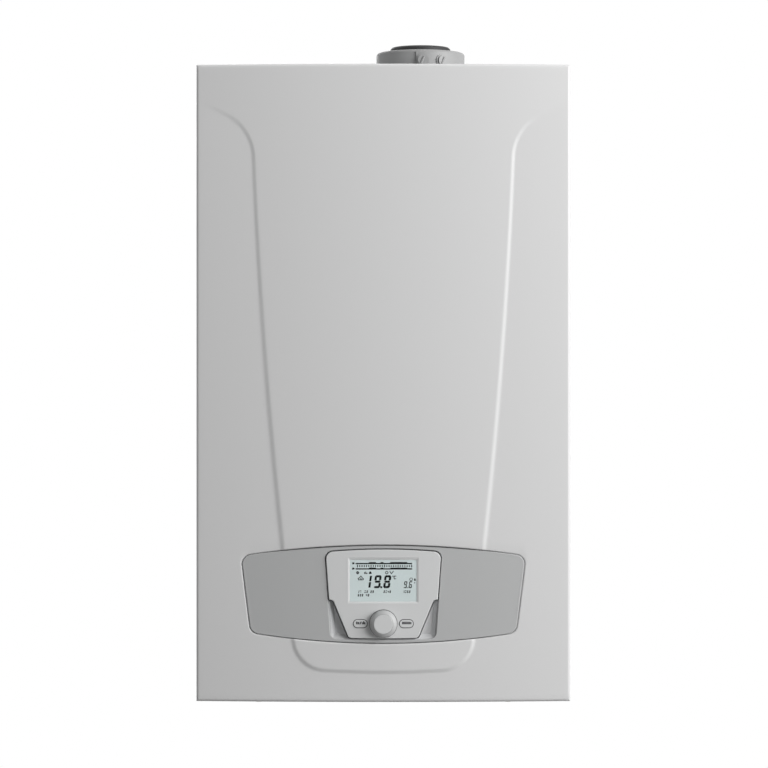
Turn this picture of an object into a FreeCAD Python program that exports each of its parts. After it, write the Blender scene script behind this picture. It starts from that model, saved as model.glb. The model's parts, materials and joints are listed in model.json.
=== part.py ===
"""Wall-hung condensing gas boiler, as a parametric assembly of separate pieces.

Frame: millimetres, +Z up, the wall is the plane Y = 0 and the front faces -Y. The origin lies on the
wall, under the middle of the cabinet, level with the cabinet's lower edge.
"""
import FreeCAD, Part
import Sketcher
import math
import os
import re
from FreeCAD import Placement, Rotation, Vector

SIZES = {
    # Cabinet
    "case_width": 450,
    "case_height": 766,
    "case_depth": 345,           # wall to the middle of the front face
    "panel_gauge": 1.0,          # painted side panels
    "frame_gauge": 1.2,          # galvanised frame, deck and roof
    "frame_setoff": 4,           # frame plate stands off the wall by this
    "frame_flange": 28,
    "rest_height": 24,           # lower rail that rests against the wall
    "side_flange": 14,
    "panel_gap": 0.6,            # casing rim to side panels
    "bottom_recess": 30,         # deck above the cabinet's lower edge
    "seat": 0.3,                 # clearance of pieces that sit in or against each other
    "overrun": 1,                # cutting tools reach this far past the faces they open
    # Wall bracket and the slots that hang on it
    "bracket_length": 320,
    "bracket_height": 40,
    "bracket_gauge": 2.5,
    "bracket_drop": 74,          # bracket centre below the roof
    "hook_spacing": 170,
    "hook_width": 42,
    "hook_rise": 12,
    "hook_gauge": 2.5,
    "hook_level": 8,             # underside of the hooks above the bracket's centre
    "slot_margin": 6,
    "bolt_spacing": 260,
    "bolt_hole_radius": 4.5,
    # Front casing
    "casing_gauge": 1.0,
    "casing_tray": 42,           # depth from the middle of the front to the rear rim
    "casing_corner": 4,
    "front_bow": 12,             # crown of the raised shield
    "cheek_bow": 9.8,              # crown of the lower cheeks beside it
    "bow_margin": 15,            # both crowns meet at this distance from the side
    "shield_depth": 16,          # reach of the shield's drafted wall behind the front
    "step_slope": 1.0,           # outward growth of that wall for each mm of depth
    "shoulder_half": 148.1,
    "shoulder_drop": 114,
    "shoulder_radius": 67.7,
    "shoulder_turn": 63,         # degrees that the shoulder turns through
    "shoulder_rise": 0.5,        # slope of the line that runs out to the side
    "foot_half": 103.7,
    "foot_radius": 35,
    "shield_bottom": 39.8,
    "shield_margin": 20,         # its outline runs past the casing by this
    "flank_radius": 6800,        # slight outward belly of the shield's flanks
    "casing_screw_x": 150,
    "casing_screw_radius": 2.0,
    "casing_screw_head": 4.2,
    "casing_head_height": 1.6,
    "casing_screw_inset": 15,    # screw ahead of the casing's rear rim
    "tab_width": 24,
    "tab_heel": 5,               # tab behind its screw
    "tab_toe": 8,                # tab ahead of it
    # Control strip in the casing
    "strip_top_half": 170.5,
    "strip_top": 174,
    "strip_foot_half": 158.5,
    "strip_foot": 84,
    "strip_top_radius": 1096,
    "strip_foot_radius": 1024,
    "strip_corner": 11,
    "strip_gap": 1.0,
    "strip_setback": 0.6,
    "strip_skin": 2.4,
    "strip_edge": 0.8,           # round of the window's edge
    "strip_skirt": 2.2,
    "window_top_half": 70.5,
    "window_top": 181,
    "window_foot_half": 63,
    "window_foot": 76,
    "window_top_radius": 702,
    "window_foot_radius": 1500,
    "window_corner": 9,
    "tray_wall": 2.0,
    "scoop_depth": 9,            # floor of the finger scoops behind the middle of the front
    "scoop_slope": 6,            # width of their sloping walls
    # Control box
    "box_setback": 20,           # front wall of the box behind the middle of the front
    "box_depth": 58,
    "box_wall": 2.4,
    "box_low": 58,
    "box_high": 204,
    "box_side_gap": 5,
    "pivot_radius": 8,
    "pivot_height": 20,
    "board_width": 250,
    "board_height": 100,
    "board_gauge": 1.6,
    "board_standoff": 14,
    "standoff_radius": 3.5,
    "relay_width": 16,
    "relay_height": 26,
    "relay_depth": 15,
    "relay_pitch": 24,
    "relay_count": 6,
    # Removable control unit
    "unit_gap": 1.2,
    "unit_edge": 0.9,            # round of its front edge
    "unit_proud": 1.2,
    "unit_wall": 2.0,
    "unit_joint": 5.4,           # depth of its rear shell
    "unit_face": 0.6,            # inside of its front wall behind the middle of the front
    "notch_top": 123,            # finger scoops cut from its lower corners
    "notch_half": 60.5,
    "notch_foot_half": 41.5,
    "notch_round": 5,
    "unit_corner": 8.4,
    "notch_nip": 1.0,
    "screen_half": 42.3,
    "screen_low": 119,
    "screen_high": 173,
    "screen_lip": 3,
    "glass_gauge": 0.7,
    "panel_depth": 3.0,
    "unit_board_gauge": 1.6,
    "unit_board_half": 58,
    "unit_board_low": 126,
    "key_board_half": 36,
    "key_board_low": 82,
    "post_radius": 2.5,
    "post_half": 50,
    "post_low": 132,
    "post_high": 170,
    "knob_radius": 16.4,
    "knob_face_radius": 12.8,
    "knob_height": 8.5,
    "knob_edge": 0.6,
    "knob_base_gap": 1.4,        # knob skirt to the unit's face
    "knob_z": 94.5,
    "shaft_radius": 3.0,
    "plunger_radius": 7,
    "plunger_gauge": 1.5,
    "key_x": 27.6,
    "key_length": 16,
    "key_height": 9,
    "key_clear": 0.5,
    "key_proud": 0.6,
    "key_edge": 0.4,
    "key_flange": 1.5,
    "key_flange_gauge": 0.9,
    # Flue
    "flue_x": 47,
    "flue_from_wall": 130,
    "collar_radius": 56,
    "collar_bore": 52,
    "collar_height": 35,
    "collar_round": 3,
    "collar_flange": 69,
    "collar_flange_gauge": 4,
    "socket_bore": 30.2,
    "socket_wall": 3.8,
    "socket_low": 18,            # socket below the roof
    "socket_high": 36,           # socket above the roof
    "seal_radius": 38,
    "seal_top": 42,
    "seal_skirt": 8,
    "seal_round": 2,
    "flue_screw_circle": 62.5,
    "flue_screw_radius": 2.0,
    "flue_head_radius": 3.8,
    "flue_head_height": 2.6,
    "test_boss_radius": 8,
    "test_boss_proud": 3,
    "test_cap_radius": 6,
    "test_plug_radius": 4,
    "test_cap_length": 5,
    "test_height": 21,
    "grip_radius": 1.3,          # slanting bar on each plug
    "grip_length": 9,
    "grip_lean": 25,             # degrees
    "pad_proud": 2,              # raised pad round the test points
    "pad_drop": 3,               # pad below the rim
    "pad_start": -6,             # degrees from straight ahead towards the right
    "pad_sweep": 41,
    "duct_wall": 1.6,
    "duct_overlap": 13,
    # Heat exchanger and burner
    "exch_radius": 130,
    "exch_z": 470,
    "exch_wall": 6,
    "exch_foot": 20,
    "exch_foot_radius": 12,
    "exch_foot_circle": 96,
    "exch_rib": 3,
    "exch_rib_width": 8,
    "exch_rib_count": 5,
    "neck_radius": 40,
    "neck_height": 14,
    "port_x": 80,
    "port_y": 62,
    "port_radius": 13,
    "port_bottom": 352,
    "drain_radius": 12,
    "drain_y": 62,
    "drain_bottom": 332,
    "door_radius": 116,
    "door_gauge": 8,
    "door_nut_circle": 104,
    "door_nut_radius": 6,
    "door_nut_height": 6,
    "door_nut_count": 6,
    "burner_radius": 36,
    "burner_bore": 33,
    "mouth_step": 10,            # mixture opening narrower than the burner
    "burner_room": 70,           # behind the burner tube
    "coil_tube": 4,              # half thickness of the flattened coil tube
    "coil_room": 56,             # exchanger longer than the coil
    "coil_gap": 4,               # groove between two turns
    "coil_turns": 6,
    "electrode_radius": 2.0,
    "electrode_spacing": 14,
    "electrode_height": 62,      # above the door's centre
    "electrode_length": 60,
    "ceramic_radius": 5,
    "ceramic_length": 22,
    # Fan, mixer and mixture duct
    "fan_x": -3,
    "fan_z": 285,
    "fan_gap": 7,                # scroll ahead of the burner door
    "scroll_radius": 75,
    "scroll_depth": 44,
    "scroll_step": 5,            # growth of the spiral with each quarter turn
    "scroll_wall": 3,
    "outlet_width": 50,
    "outlet_rise": 2,            # outlet flange above the scroll
    "impeller_radius": 50,
    "impeller_clear": 4,
    "impeller_hub": 16,
    "blade_count": 12,
    "blade_gauge": 2,
    "blade_lean": 28,            # degrees
    "fan_shaft": 4,
    "shaft_room": 3,             # hole in the scroll wider than the shaft
    "motor_radius": 38,
    "motor_length": 58,
    "motor_round": 6,
    "inlet_bore": 30,
    "mixer_radius": 36,
    "mixer_length": 28,
    "mixer_clear": 33,           # air mixer to the middle of the front
    "mixer_throat": 22,
    "mixer_boss": 8,             # gas boss beyond the mixer
    "mixer_boss_wall": 3,
    "duct_depth": 44,
    "duct_top": 506,
    "duct_round": 18,
    "duct_flange": 6,
    # Gas train
    "valve_left": 105,
    "valve_width": 85,
    "valve_low": 255,
    "valve_height": 80,
    "valve_front": 240,
    "valve_depth": 90,
    "valve_coil_radius": 16,
    "valve_coil_height": 28,
    "valve_coil_pitch": 39,
    "valve_round": 6,
    "adjuster_length": 8,
    "gas_pipe_radius": 9,
    "gas_run_z": 224,
    "gas_inlet_x": 147,
    "gas_inlet_y": 195,
    "gas_tube_radius": 7,
    "gas_tube_x": 88,
    "gas_bend": 14,
    "gas_tube_bend": 12,
    "pipe_wall": 1.0,
    # Hydraulic groups on the deck
    "stub_pitch": 65,
    "stub_y": 120,
    "stub_end": 6,
    "stub_large": 13.2,
    "stub_small": 10.5,
    "stub_bore_share": 0.72,
    "stub_clear": 1.0,
    "gas_nut_top": 56,
    "group_rear": 30,
    "group_front": 160,
    "group_inner": 90,
    "group_outer": 172,
    "group_foot_inner": 48,
    "group_foot_top": 57,
    "group_top": 112,
    "group_round": 8,
    "valve_tower_top": 150,
    "plate_rear": 36,
    "plate_front": 88,
    "plate_low": 63,
    "plate_high": 119,
    "plate_count": 14,
    "plate_groove": 1.6,
    "plate_margin": 6,           # grooves end this far from the plates' ends
    "pump_x": 128,
    "pump_z": 166,
    "pump_radius": 50,
    "pump_rear": 92,
    "pump_depth": 56,
    "pump_wall": 6,
    "pump_base_half": 30,
    "pump_neck": 8,              # outlet above the volute
    "pump_neck_wall": 5,
    "pump_motor_radius": 42,
    "pump_clear": 35,            # pump motor to the control box
    "pump_motor_wall": 4,
    "pump_motor_round": 8,
    "wheel_depth": 12,
    "rotor_radius": 34,
    "rotor_clear": 4,
    "vent_x": 92,
    "vent_y": 120,
    "vent_radius": 13,
    "vent_boss_step": 2,
    "vent_shoulder": 12,
    "vent_tip": 8,
    "vent_boss_top": 216,
    "vent_height": 34,
    "actuator_x": -138,
    "actuator_y": 122,
    "actuator_half": 26,
    "actuator_height": 46,
    "dome_height": 8,
    "dome_inset": 6,
    "stem_radius": 4,
    "stem_bore": 10,
    "stem_plug": 9.5,
    "stem_plug_height": 12,
    "stem_low": 66,
    "stem_travel": 8,
    "stem_room": 8,              # end of the stem's bore below the actuator's top
    "pipe_radius": 9,
    "pipe_bend": 26,
    "flow_pipe_x": -112,
    "flow_pipe_y": 62,
    "flow_run_z": 290,
    "return_top_y": 120,
    "return_rise": 30,           # bends of the return pipe about its middle
    "return_fall": 20,
    "relief_x": 118,
    "relief_z": 78,
    "relief_radius": 12,
    "relief_length": 22,
    "relief_cap": 15,
    "relief_cap_length": 16,
    "trap_x": -50,
    "trap_y": 190,
    "trap_radius": 28,
    "trap_top": 150,
    "trap_cap": 12,
    "trap_outlet": 10,
    "trap_wall": 2,
    "trap_cap_wall": 5,
    "hose_radius": 11,
    "hose_bend": 30,
    "hose_offset": 20,           # bends of the hose about its middle
    "tap_x": 98,
    "tap_y": 146,
    "tap_hub": 9,
    "tap_stem": 4.5,
    "tap_lever": 30,
    "tap_lever_width": 10,
    "tap_low": 10,
    "tap_high": 24,
    "gland_inset": 39,           # gland inside the right panel
    "gland_y": 225,
    "gland_neck": 10,
    "gland_body": 13,
    "gland_bore": 4,
    "gland_chamfer": 3,
    "gland_chamfer_height": 4,
    "gland_low": 14,
    "gland_high": 42,
    # Expansion vessel
    "vessel_radius": 142,
    "vessel_y": 152,
    "vessel_z": 480,
    "vessel_rim": 20,
    "vessel_dome": 30,
    "vessel_face": 80,
    "vessel_gauge": 2.0,
    "vessel_seam": 4,            # rolled seam round the middle
    "vessel_seam_half": 3,
    "vessel_boss": 10,
    "vessel_boss_radius": 22,
    "vessel_tube_radius": 5,
    "vessel_tube_z": 205,
    "vessel_tube_y": 150,
    "vessel_tube_end": 70,
}

PLACES = {
    "inner_half": "case_width/2 - panel_gauge",
    "rim_y": "-(case_depth - casing_tray)",
    "side_front": "rim_y + panel_gap",
    "deck_front": "side_front + panel_gauge",
    "frame_face": "-(frame_setoff + frame_gauge)",
    "deck_top": "bottom_recess + frame_gauge",
    "roof": "case_height",
    "bracket_z": "case_height - bracket_drop",
    "hook_top": "bracket_z + hook_level + hook_gauge",
    "front_y": "-case_depth",
    "cheek_y": "-(case_depth - front_bow + cheek_bow)",
    "bow_half": "case_width/2 - bow_margin",
    "front_radius": "(bow_half^2 + front_bow^2)/(2*front_bow)",
    "cheek_radius": "(bow_half^2 + cheek_bow^2)/(2*cheek_bow)",
    "screw_y": "rim_y - casing_screw_inset",
    "box_front": "-(case_depth - box_setback)",
    "box_rear": "box_front + box_depth",
    "box_half": "inner_half - side_flange - box_side_gap",
    "board_y": "box_front + box_wall + board_standoff",
    "unit_rear": "box_front - tray_wall - seat",
    "unit_split": "unit_rear - unit_joint",
    "unit_inside": "-(case_depth - unit_face)",
    "glass_rear": "unit_inside + glass_gauge",
    "screen_rear": "glass_rear + panel_depth",
    "unit_board_rear": "screen_rear + unit_board_gauge",
    "unit_front": "-(case_depth + unit_proud)",
    "knob_base": "unit_front - knob_base_gap",
    "plunger_front": "(unit_inside + screen_rear)/2 - plunger_gauge/2",
    "flue_y": "-flue_from_wall",
    "duct_bore": "socket_bore + socket_wall + seat",
    "duct_radius": "duct_bore + duct_wall",
    "exch_x": "flue_x",
    "exch_rear": "frame_face - exch_foot",
    "fan_train": "mixer_clear + mixer_length + scroll_depth + fan_gap",
    "exch_length": "case_depth - fan_train - door_gauge + exch_rear",
    "exch_front": "exch_rear - exch_length",
    "burner_length": "exch_length - burner_room",
    "coil_length": "exch_length - coil_room",
    "neck_top": "exch_z + exch_radius + neck_height",
    "coil_radius": "exch_radius - exch_rib - exch_wall - coil_tube - seat",
    "door_front": "exch_front - door_gauge",
    "fan_rear": "door_front - fan_gap",
    "fan_front": "fan_rear - scroll_depth",
    "outlet_top": "fan_z + scroll_radius + outlet_rise",
    "outlet_right": "fan_x + scroll_radius",
    "outlet_left": "outlet_right - outlet_width",
    "mixer_front": "fan_front - mixer_length",
    "mixer_y": "fan_front - mixer_length/2",
    "pump_front": "-(pump_rear + pump_depth)",
    "pump_top": "pump_z + pump_radius",
    "pump_motor_length": "-box_rear - pump_rear - pump_depth - pump_clear",
    "pump_motor_front": "pump_front - pump_motor_length",
    "actuator_top": "valve_tower_top + actuator_height",
    "gland_x": "inner_half - gland_inset",
    "trap_hose_z": "trap_top + trap_cap",
    "vessel_left": "-inner_half + vessel_boss",
    "vessel_right": "vessel_left + vessel_face",
    "vessel_tube_x": "(vessel_right + exch_x - exch_radius)/2",
}

doc = FreeCAD.newDocument("wall_hung_boiler")
sheet = doc.addObject("Spreadsheet::Sheet", "Sizes")
for row, (alias, value) in enumerate(SIZES.items(), start=1):
    sheet.set(f"A{row}", alias)
    sheet.set(f"B{row}", str(value))
    sheet.setAlias(f"B{row}", alias)
doc.recompute()

WORD = re.compile(r"[a-z][a-z0-9_]*")
TOUCH = 0.01                     # points closer than this count as one


def expand(text):
    """A place written out in cells of the sheet alone."""
    def swap(match):
        word = match.group(0)
        if word in SIZES:
            return "Sizes." + word
        return f"({expand(PLACES[word])})" if word in PLACES else word
    return WORD.sub(swap, text)


def link(text):
    """An expression whose words are bound to the sheet's cells and the derived places."""
    def swap(match):
        word = match.group(0)
        if word in SIZES:
            return "Sizes." + word
        return "Places." + word if word in PLACES else word
    return WORD.sub(swap, str(text))


places = doc.addObject("App::FeaturePython", "Places")
for place_name, place_text in PLACES.items():
    places.addProperty("App::PropertyFloat", place_name)
    places.setExpression(place_name, expand(place_text))
probe = doc.addObject("App::FeaturePython", "Probe")
probe.addProperty("App::PropertyFloat", "Reading")
doc.recompute()


def number(text):
    """The present value of an expression."""
    probe.setExpression("Reading", link(text))
    probe.recompute()
    return probe.Reading


def bind(piece, **expressions):
    """Binds properties of a piece; a double underscore stands for a dot."""
    for name, text in expressions.items():
        piece.setExpression(name.replace("__", "."), link(text))
    return piece


def put(piece, x="0", y="0", z="0", turn=None):
    """Places a piece, first turned as given."""
    if turn is not None:
        piece.Placement = Placement(Vector(), turn)
    return bind(piece, Placement__Base__x=x, Placement__Base__y=y, Placement__Base__z=z)


AIM = {
    "x": Rotation(Vector(0, 1, 0), 90),
    "y": Rotation(Vector(1, 0, 0), -90),
    "z": Rotation(),
    "front": Rotation(Vector(1, 0, 0), 90),
}


def block(x, y, z):
    """A box between two bounds on each axis."""
    piece = doc.addObject("Part::Box", "Block")
    bind(piece, Length=f"({x[1]}) - ({x[0]})", Width=f"({y[1]}) - ({y[0]})", Height=f"({z[1]}) - ({z[0]})")
    return put(piece, x[0], y[0], z[0])


def rod(axis, centre, span, radius):
    """A cylinder along x, y or z; centre gives its other two coordinates in x, y, z order."""
    piece = doc.addObject("Part::Cylinder", "Rod")
    bind(piece, Radius=radius, Height=f"({span[1]}) - ({span[0]})")
    base = {"x": (span[0], *centre), "y": (centre[0], span[0], centre[1]), "z": (*centre, span[0])}[axis]
    return put(piece, *base, turn=AIM[axis])


def ring(axis, centre, span, radius, bore):
    """A tube along one axis."""
    return cut(rod(axis, centre, span, radius), rod(axis, centre, span, bore))


def fuse(*pieces):
    joined = doc.addObject("Part::MultiFuse", "Fuse")
    joined.Shapes = list(pieces)
    joined.Refine = True
    return joined


def group(*pieces):
    """Separate solids that share one node."""
    together = doc.addObject("Part::Compound", "Group")
    together.Links = list(pieces)
    return together


def cut(base, *tools):
    result = doc.addObject("Part::Cut", "Cut")
    result.Base = base
    result.Tool = tools[0] if len(tools) == 1 else fuse(*tools)
    result.Refine = True
    return result


def common(*pieces):
    shared = doc.addObject("Part::MultiCommon", "Common")
    shared.Shapes = list(pieces)
    shared.Refine = True
    return shared


def soften(base, radius, chosen):
    """Rounds those edges of a body whose boxes pass the test."""
    doc.recompute()
    size = number(radius)
    rounded = doc.addObject("Part::Fillet", "Rounded")
    rounded.Base = base
    rounded.Edges = [(n, size, size) for n, edge in enumerate(base.Shape.Edges, start=1)
                     if chosen(edge.BoundBox)]
    return rounded


def draw(sketch, corners):
    """Draws a closed outline. A corner is (x, y), or (x, y, radius) where an arc leads on to the next one;
    a positive radius bellies to the left of the way travelled, a negative one to the right."""
    points = [Vector(number(c[0]), number(c[1]), 0) for c in corners]
    ends = [(1, 2)] * len(corners)           # numbers of each segment's start and end point
    for i, corner in enumerate(corners):
        start, end = points[i], points[(i + 1) % len(points)]
        if len(corner) == 2:
            sketch.addGeometry(Part.LineSegment(start, end))
            continue
        radius = number(corner[2])
        chord = end - start
        rise = abs(radius) - math.sqrt(radius ** 2 - (chord.Length / 2) ** 2)
        left = Vector(-chord.y, chord.x, 0).normalize() * math.copysign(rise, radius)
        first, last = (end, start) if radius > 0 else (start, end)
        sketch.addGeometry(Part.Arc(first, (start + end) / 2 + left, last))
        ends[i] = (2, 1) if radius > 0 else (1, 2)
    rules, bound = [], []
    for i, corner in enumerate(corners):
        after = (i + 1) % len(corners)
        rules.append(Sketcher.Constraint("Coincident", i, ends[i][1], after, ends[after][0]))
        for kind, text in (("DistanceX", corner[0]), ("DistanceY", corner[1])):
            bound.append((len(rules), text))
            rules.append(Sketcher.Constraint(kind, -1, 1, i, ends[i][0], number(text)))
        if len(corner) == 3:
            bound.append((len(rules), f"abs({corner[2]})"))
            rules.append(Sketcher.Constraint("Radius", i, abs(number(corner[2]))))
    sketch.addConstraint(rules)
    for index, text in bound:
        sketch.setExpression(f"Constraints[{index}]", link(text))


def mirrored(half, top=None, foot=None):
    """A whole outline from its right half, listed from the top down, with arcs at top and foot if given."""
    right = [tuple(c) for c in half]
    left = [(f"-({c[0]})", c[1]) for c in reversed(right)]
    for i in range(len(right) - 1):
        if len(right[i]) == 3:
            left[len(right) - 2 - i] += (right[i][2],)
    if foot is not None:
        right[-1] = (*right[-1][:2], foot)
    if top is not None:
        left[-1] = (*left[-1][:2], top)
    return right + left


def sketch_on(body, role):
    sketch = body.newObject("Sketcher::SketchObject", "Outline")
    plane = [f for f in body.Origin.OriginFeatures if f.Role == role][0]
    sketch.AttachmentSupport = [(plane, "")]
    sketch.MapMode = "FlatFace"
    return sketch


def prism(corners, rear, front, rounds=()):
    """A body padded from an outline in the X-Z plane, from rear to front. rounds lists (radius, corner
    numbers) of the upright edges to round."""
    body = doc.addObject("PartDesign::Body", "Prism")
    sketch = sketch_on(body, "XZ_Plane")
    draw(sketch, corners)
    feature = body.newObject("PartDesign::Pad", "Pad")
    feature.Profile = sketch
    bind(feature, Length=f"({rear}) - ({front})")
    doc.recompute()
    for radius, which in rounds:
        spots = [(number(corners[i][0]), number(corners[i][1])) for i in which]
        names = [f"Edge{n}" for n, edge in enumerate(feature.Shape.Edges, start=1) if lies_on(edge, spots)]
        rounded = body.newObject("PartDesign::Fillet", "Round")
        rounded.Base = (feature, names)
        bind(rounded, Radius=radius)
        doc.recompute()
        feature = rounded
    return put(body, y=rear)


def lies_on(edge, spots):
    """Whether an edge runs along Y through one of the spots, given as (x, z)."""
    ends = [v.Point for v in edge.Vertexes]
    if len(ends) != 2:
        return False
    return any(all(math.hypot(p.x - x, p.z - z) < TOUCH for p in ends) for x, z in spots)


def turned(profile, x, y, z, aim="z"):
    """A body turned from a (radius, height) profile about an upright axis, then aimed and placed."""
    body = doc.addObject("PartDesign::Body", "Turned")
    sketch = sketch_on(body, "XZ_Plane")
    draw(sketch, profile)
    feature = body.newObject("PartDesign::Revolution", "Revolution")
    feature.Profile = sketch
    feature.ReferenceAxis = (sketch, ["V_Axis"])
    feature.Angle = 360
    return put(body, x, y, z, turn=AIM[aim])


def pipe(route, radius, bend, wall=None):
    """A pipe of straight runs and tangent bends, hollow where a wall is given."""
    points = [Vector(*(number(c) for c in spot)) for spot in route]
    bend_radius = number(bend)
    radii = [number(radius)] if wall is None else [number(radius), number(f"{radius} - {wall}")]
    way = points[1] - points[0]
    rings = [Part.Wire(Part.makeCircle(r, points[0], way)) for r in radii]
    section = Part.makeFace(rings, "Part::FaceMakerBullseye")
    stretches, last = [], points[0]
    for before, corner, after in zip(points, points[1:], points[2:]):
        into = (corner - before).normalize()
        out = (after - corner).normalize()
        turn = into.getAngle(out)
        reach = bend_radius * math.tan(turn / 2)
        start = corner - into * reach
        stretches.append(section.extrude(start - last))
        section = section.translated(start - last)
        hub = start + (out - into * into.dot(out)).normalize() * bend_radius
        axis = into.cross(out)
        stretches.append(section.revolve(hub, axis, math.degrees(turn)))
        section = section.rotated(hub, axis, math.degrees(turn))
        last = corner + out * reach
    stretches.append(section.extrude(points[-1] - last))
    feature = doc.addObject("Part::Feature", "Pipe")
    feature.Shape = stretches[0].multiFuse(stretches[1:])
    return feature


def rear_frame():
    """Galvanised back plate with folded flanks, a lower rail against the wall and two hanging slots."""
    height = ("0", "case_height - frame_gauge")
    plate = block(("-inner_half", "inner_half"), ("frame_face", "-frame_setoff"), height)
    sides = [("-inner_half", "-inner_half + frame_gauge"), ("inner_half - frame_gauge", "inner_half")]
    flanks = [block(x, ("frame_face - frame_flange", "frame_face"), height) for x in sides]
    feet = [block(x, ("-frame_setoff", "0"), height) for x in sides]
    rail = block(("-inner_half", "inner_half"), ("-frame_gauge", "0"), ("0", "rest_height"))
    web = block(("-inner_half", "inner_half"), ("-frame_setoff", "0"),
                ("rest_height - frame_gauge", "rest_height"))
    slots = [block((f"{side}*hook_spacing/2 - hook_width/2 - slot_margin",
                    f"{side}*hook_spacing/2 + hook_width/2 + slot_margin"),
                   ("frame_face - overrun", "0"), ("bracket_z - bracket_height/2", "hook_top"))
             for side in (-1, 1)]
    return cut(fuse(plate, *flanks, *feet, rail, web), *slots)


def wall_bracket():
    """Strip bolted to the wall, with two upturned hooks."""
    strip = block(("-bracket_length/2", "bracket_length/2"), ("-bracket_gauge", "0"),
                  ("bracket_z - bracket_height/2", "bracket_z + bracket_height/2"))
    hooks = []
    for side in (-1, 1):
        width = (f"{side}*hook_spacing/2 - hook_width/2", f"{side}*hook_spacing/2 + hook_width/2")
        lip = "frame_face - seat - hook_gauge"
        hooks.append(block(width, (lip, "-bracket_gauge"), ("hook_top - hook_gauge", "hook_top")))
        hooks.append(block(width, (lip, "frame_face - seat"),
                           ("hook_top - hook_gauge", "hook_top + hook_rise")))
    through = ("-bracket_gauge - overrun", "overrun")
    holes = [rod("y", (f"{side}*bolt_spacing/2", "bracket_z"), through, "bolt_hole_radius")
             for side in (-1, 1)]
    return cut(fuse(strip, *hooks), *holes)


def side_panel(side):
    """Painted side with an inward fold behind the casing's rim."""
    outer, inner, fold = f"{side}*case_width/2", f"{side}*inner_half", f"{side}*(inner_half - side_flange)"
    low, high = (outer, inner) if side < 0 else (inner, outer)
    sheet_plate = block((low, high), ("side_front", "0"), ("0", "case_height"))
    low, high = (inner, fold) if side < 0 else (fold, inner)
    return fuse(sheet_plate, block((low, high), ("side_front", "deck_front"), ("0", "case_height")))


def left_side_panel():
    return side_panel(-1)


def right_side_panel():
    return side_panel(1)


def flue_screw_spots():
    """Centres of the four collar screws, on the diagonals."""
    return [(f"flue_x + {sx}*flue_screw_circle*sqrt(0.5)", f"flue_y + {sy}*flue_screw_circle*sqrt(0.5)")
            for sx in (-1, 1) for sy in (-1, 1)]


def top_plate():
    """Roof with the air opening under the flue collar."""
    depth = ("case_height - frame_gauge", "case_height")
    plate = block(("-inner_half", "inner_half"), ("deck_front", "0"), depth)
    through = ("case_height - frame_gauge - overrun", "case_height + overrun")
    opening = rod("z", ("flue_x", "flue_y"), through, "collar_bore")
    holes = [rod("z", spot, through, "flue_screw_radius + seat") for spot in flue_screw_spots()]
    return cut(plate, opening, *holes)


STUBS = [(-2, "stub_large"), (-1, "stub_small"), (0, "stub_large"), (1, "stub_small"), (2, "stub_large")]


def bottom_plate():
    """Deck that carries the hydraulic groups, with two slotted tabs for the casing screws."""
    deck = ("bottom_recess", "deck_top")
    half = "inner_half - frame_gauge"
    plate = block((f"-({half})", half), ("deck_front", "frame_face"), deck)
    foot = ("casing_gauge + seat", "casing_gauge + seat + frame_gauge")
    knee, toe = "screw_y + tab_heel", "screw_y - tab_toe"
    tabs, slots = [], []
    for side in (-1, 1):
        width = (f"{side}*casing_screw_x - tab_width/2", f"{side}*casing_screw_x + tab_width/2")
        tabs.append(block(width, (knee, "deck_front"), deck))
        tabs.append(block(width, (knee, f"{knee} + frame_gauge"), (foot[0], deck[1])))
        tabs.append(block(width, (toe, f"{knee} + frame_gauge"), foot))
        room = "(casing_screw_radius + 2*seat)"
        slots.append(block((f"{side}*casing_screw_x - {room}", f"{side}*casing_screw_x + {room}"),
                           (f"{toe} - overrun", "screw_y + casing_screw_radius + 2*seat"),
                           (f"{foot[0]} - overrun", f"{foot[1]} + overrun")))
    through = ("bottom_recess - overrun", "deck_top + overrun")
    holes = [rod("z", (f"{i}*stub_pitch", "-stub_y"), through, f"{radius} + stub_clear")
             for i, radius in STUBS]
    holes.append(rod("z", ("trap_x", "-trap_y"), through, "trap_outlet + stub_clear"))
    holes.append(rod("z", ("tap_x", "-tap_y"), through, "tap_stem + seat"))
    holes.append(rod("z", ("gland_x", "-gland_y"), through, "gland_neck + seat"))
    return cut(fuse(plate, *tabs), *slots, *holes)


def bowed(width, height, rear, radius, crown):
    """A block whose front is a shallow upright cylinder with its crown in the middle."""
    body = block(width, (f"{crown} - overrun", rear), height)
    span = (f"{height[0]} - overrun", f"{height[1]} + overrun")
    barrel = rod("z", ("0", f"{crown} + {radius}"), span, radius)
    return common(body, barrel)


def shield_outline(grow):
    """Outline of the raised shield: full width at the top, shoulders, flanks and rounded foot."""
    level = "case_height - shoulder_drop"
    centre = "shoulder_half + shoulder_radius"
    bend = f"shoulder_radius - ({grow})"
    run = ("case_width/2 + shield_margin", f"{level} + ({bend})*sin(shoulder_turn)"
           f" + (case_width/2 + shield_margin - ({centre} - ({bend})*cos(shoulder_turn)))*shoulder_rise")
    return mirrored([
        ("case_width/2 + shield_margin", "case_height + shield_margin/2"),
        run,
        (f"{centre} - ({bend})*cos(shoulder_turn)",
         f"{level} + ({bend})*sin(shoulder_turn)", f"-({bend})"),
        (f"shoulder_half + ({grow})", level, "flank_radius"),
        (f"foot_half + ({grow})", "shield_bottom + foot_radius", f"foot_radius + ({grow})"),
        ("foot_half - foot_radius", f"shield_bottom - ({grow})"),
    ])


def tapered(outline, *stations):
    """A ruled body through one outline drawn at several depths; a station is (y, growth)."""
    sections = []
    for y, grow in stations:
        sketch = doc.addObject("Sketcher::SketchObject", "Section")
        put(sketch, y=y, turn=AIM["front"])
        draw(sketch, outline(grow))
        sections.append(sketch)
    solid = doc.addObject("Part::Loft", "Tapered")
    solid.Sections = sections
    solid.Solid = True
    solid.Ruled = True
    return solid


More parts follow.
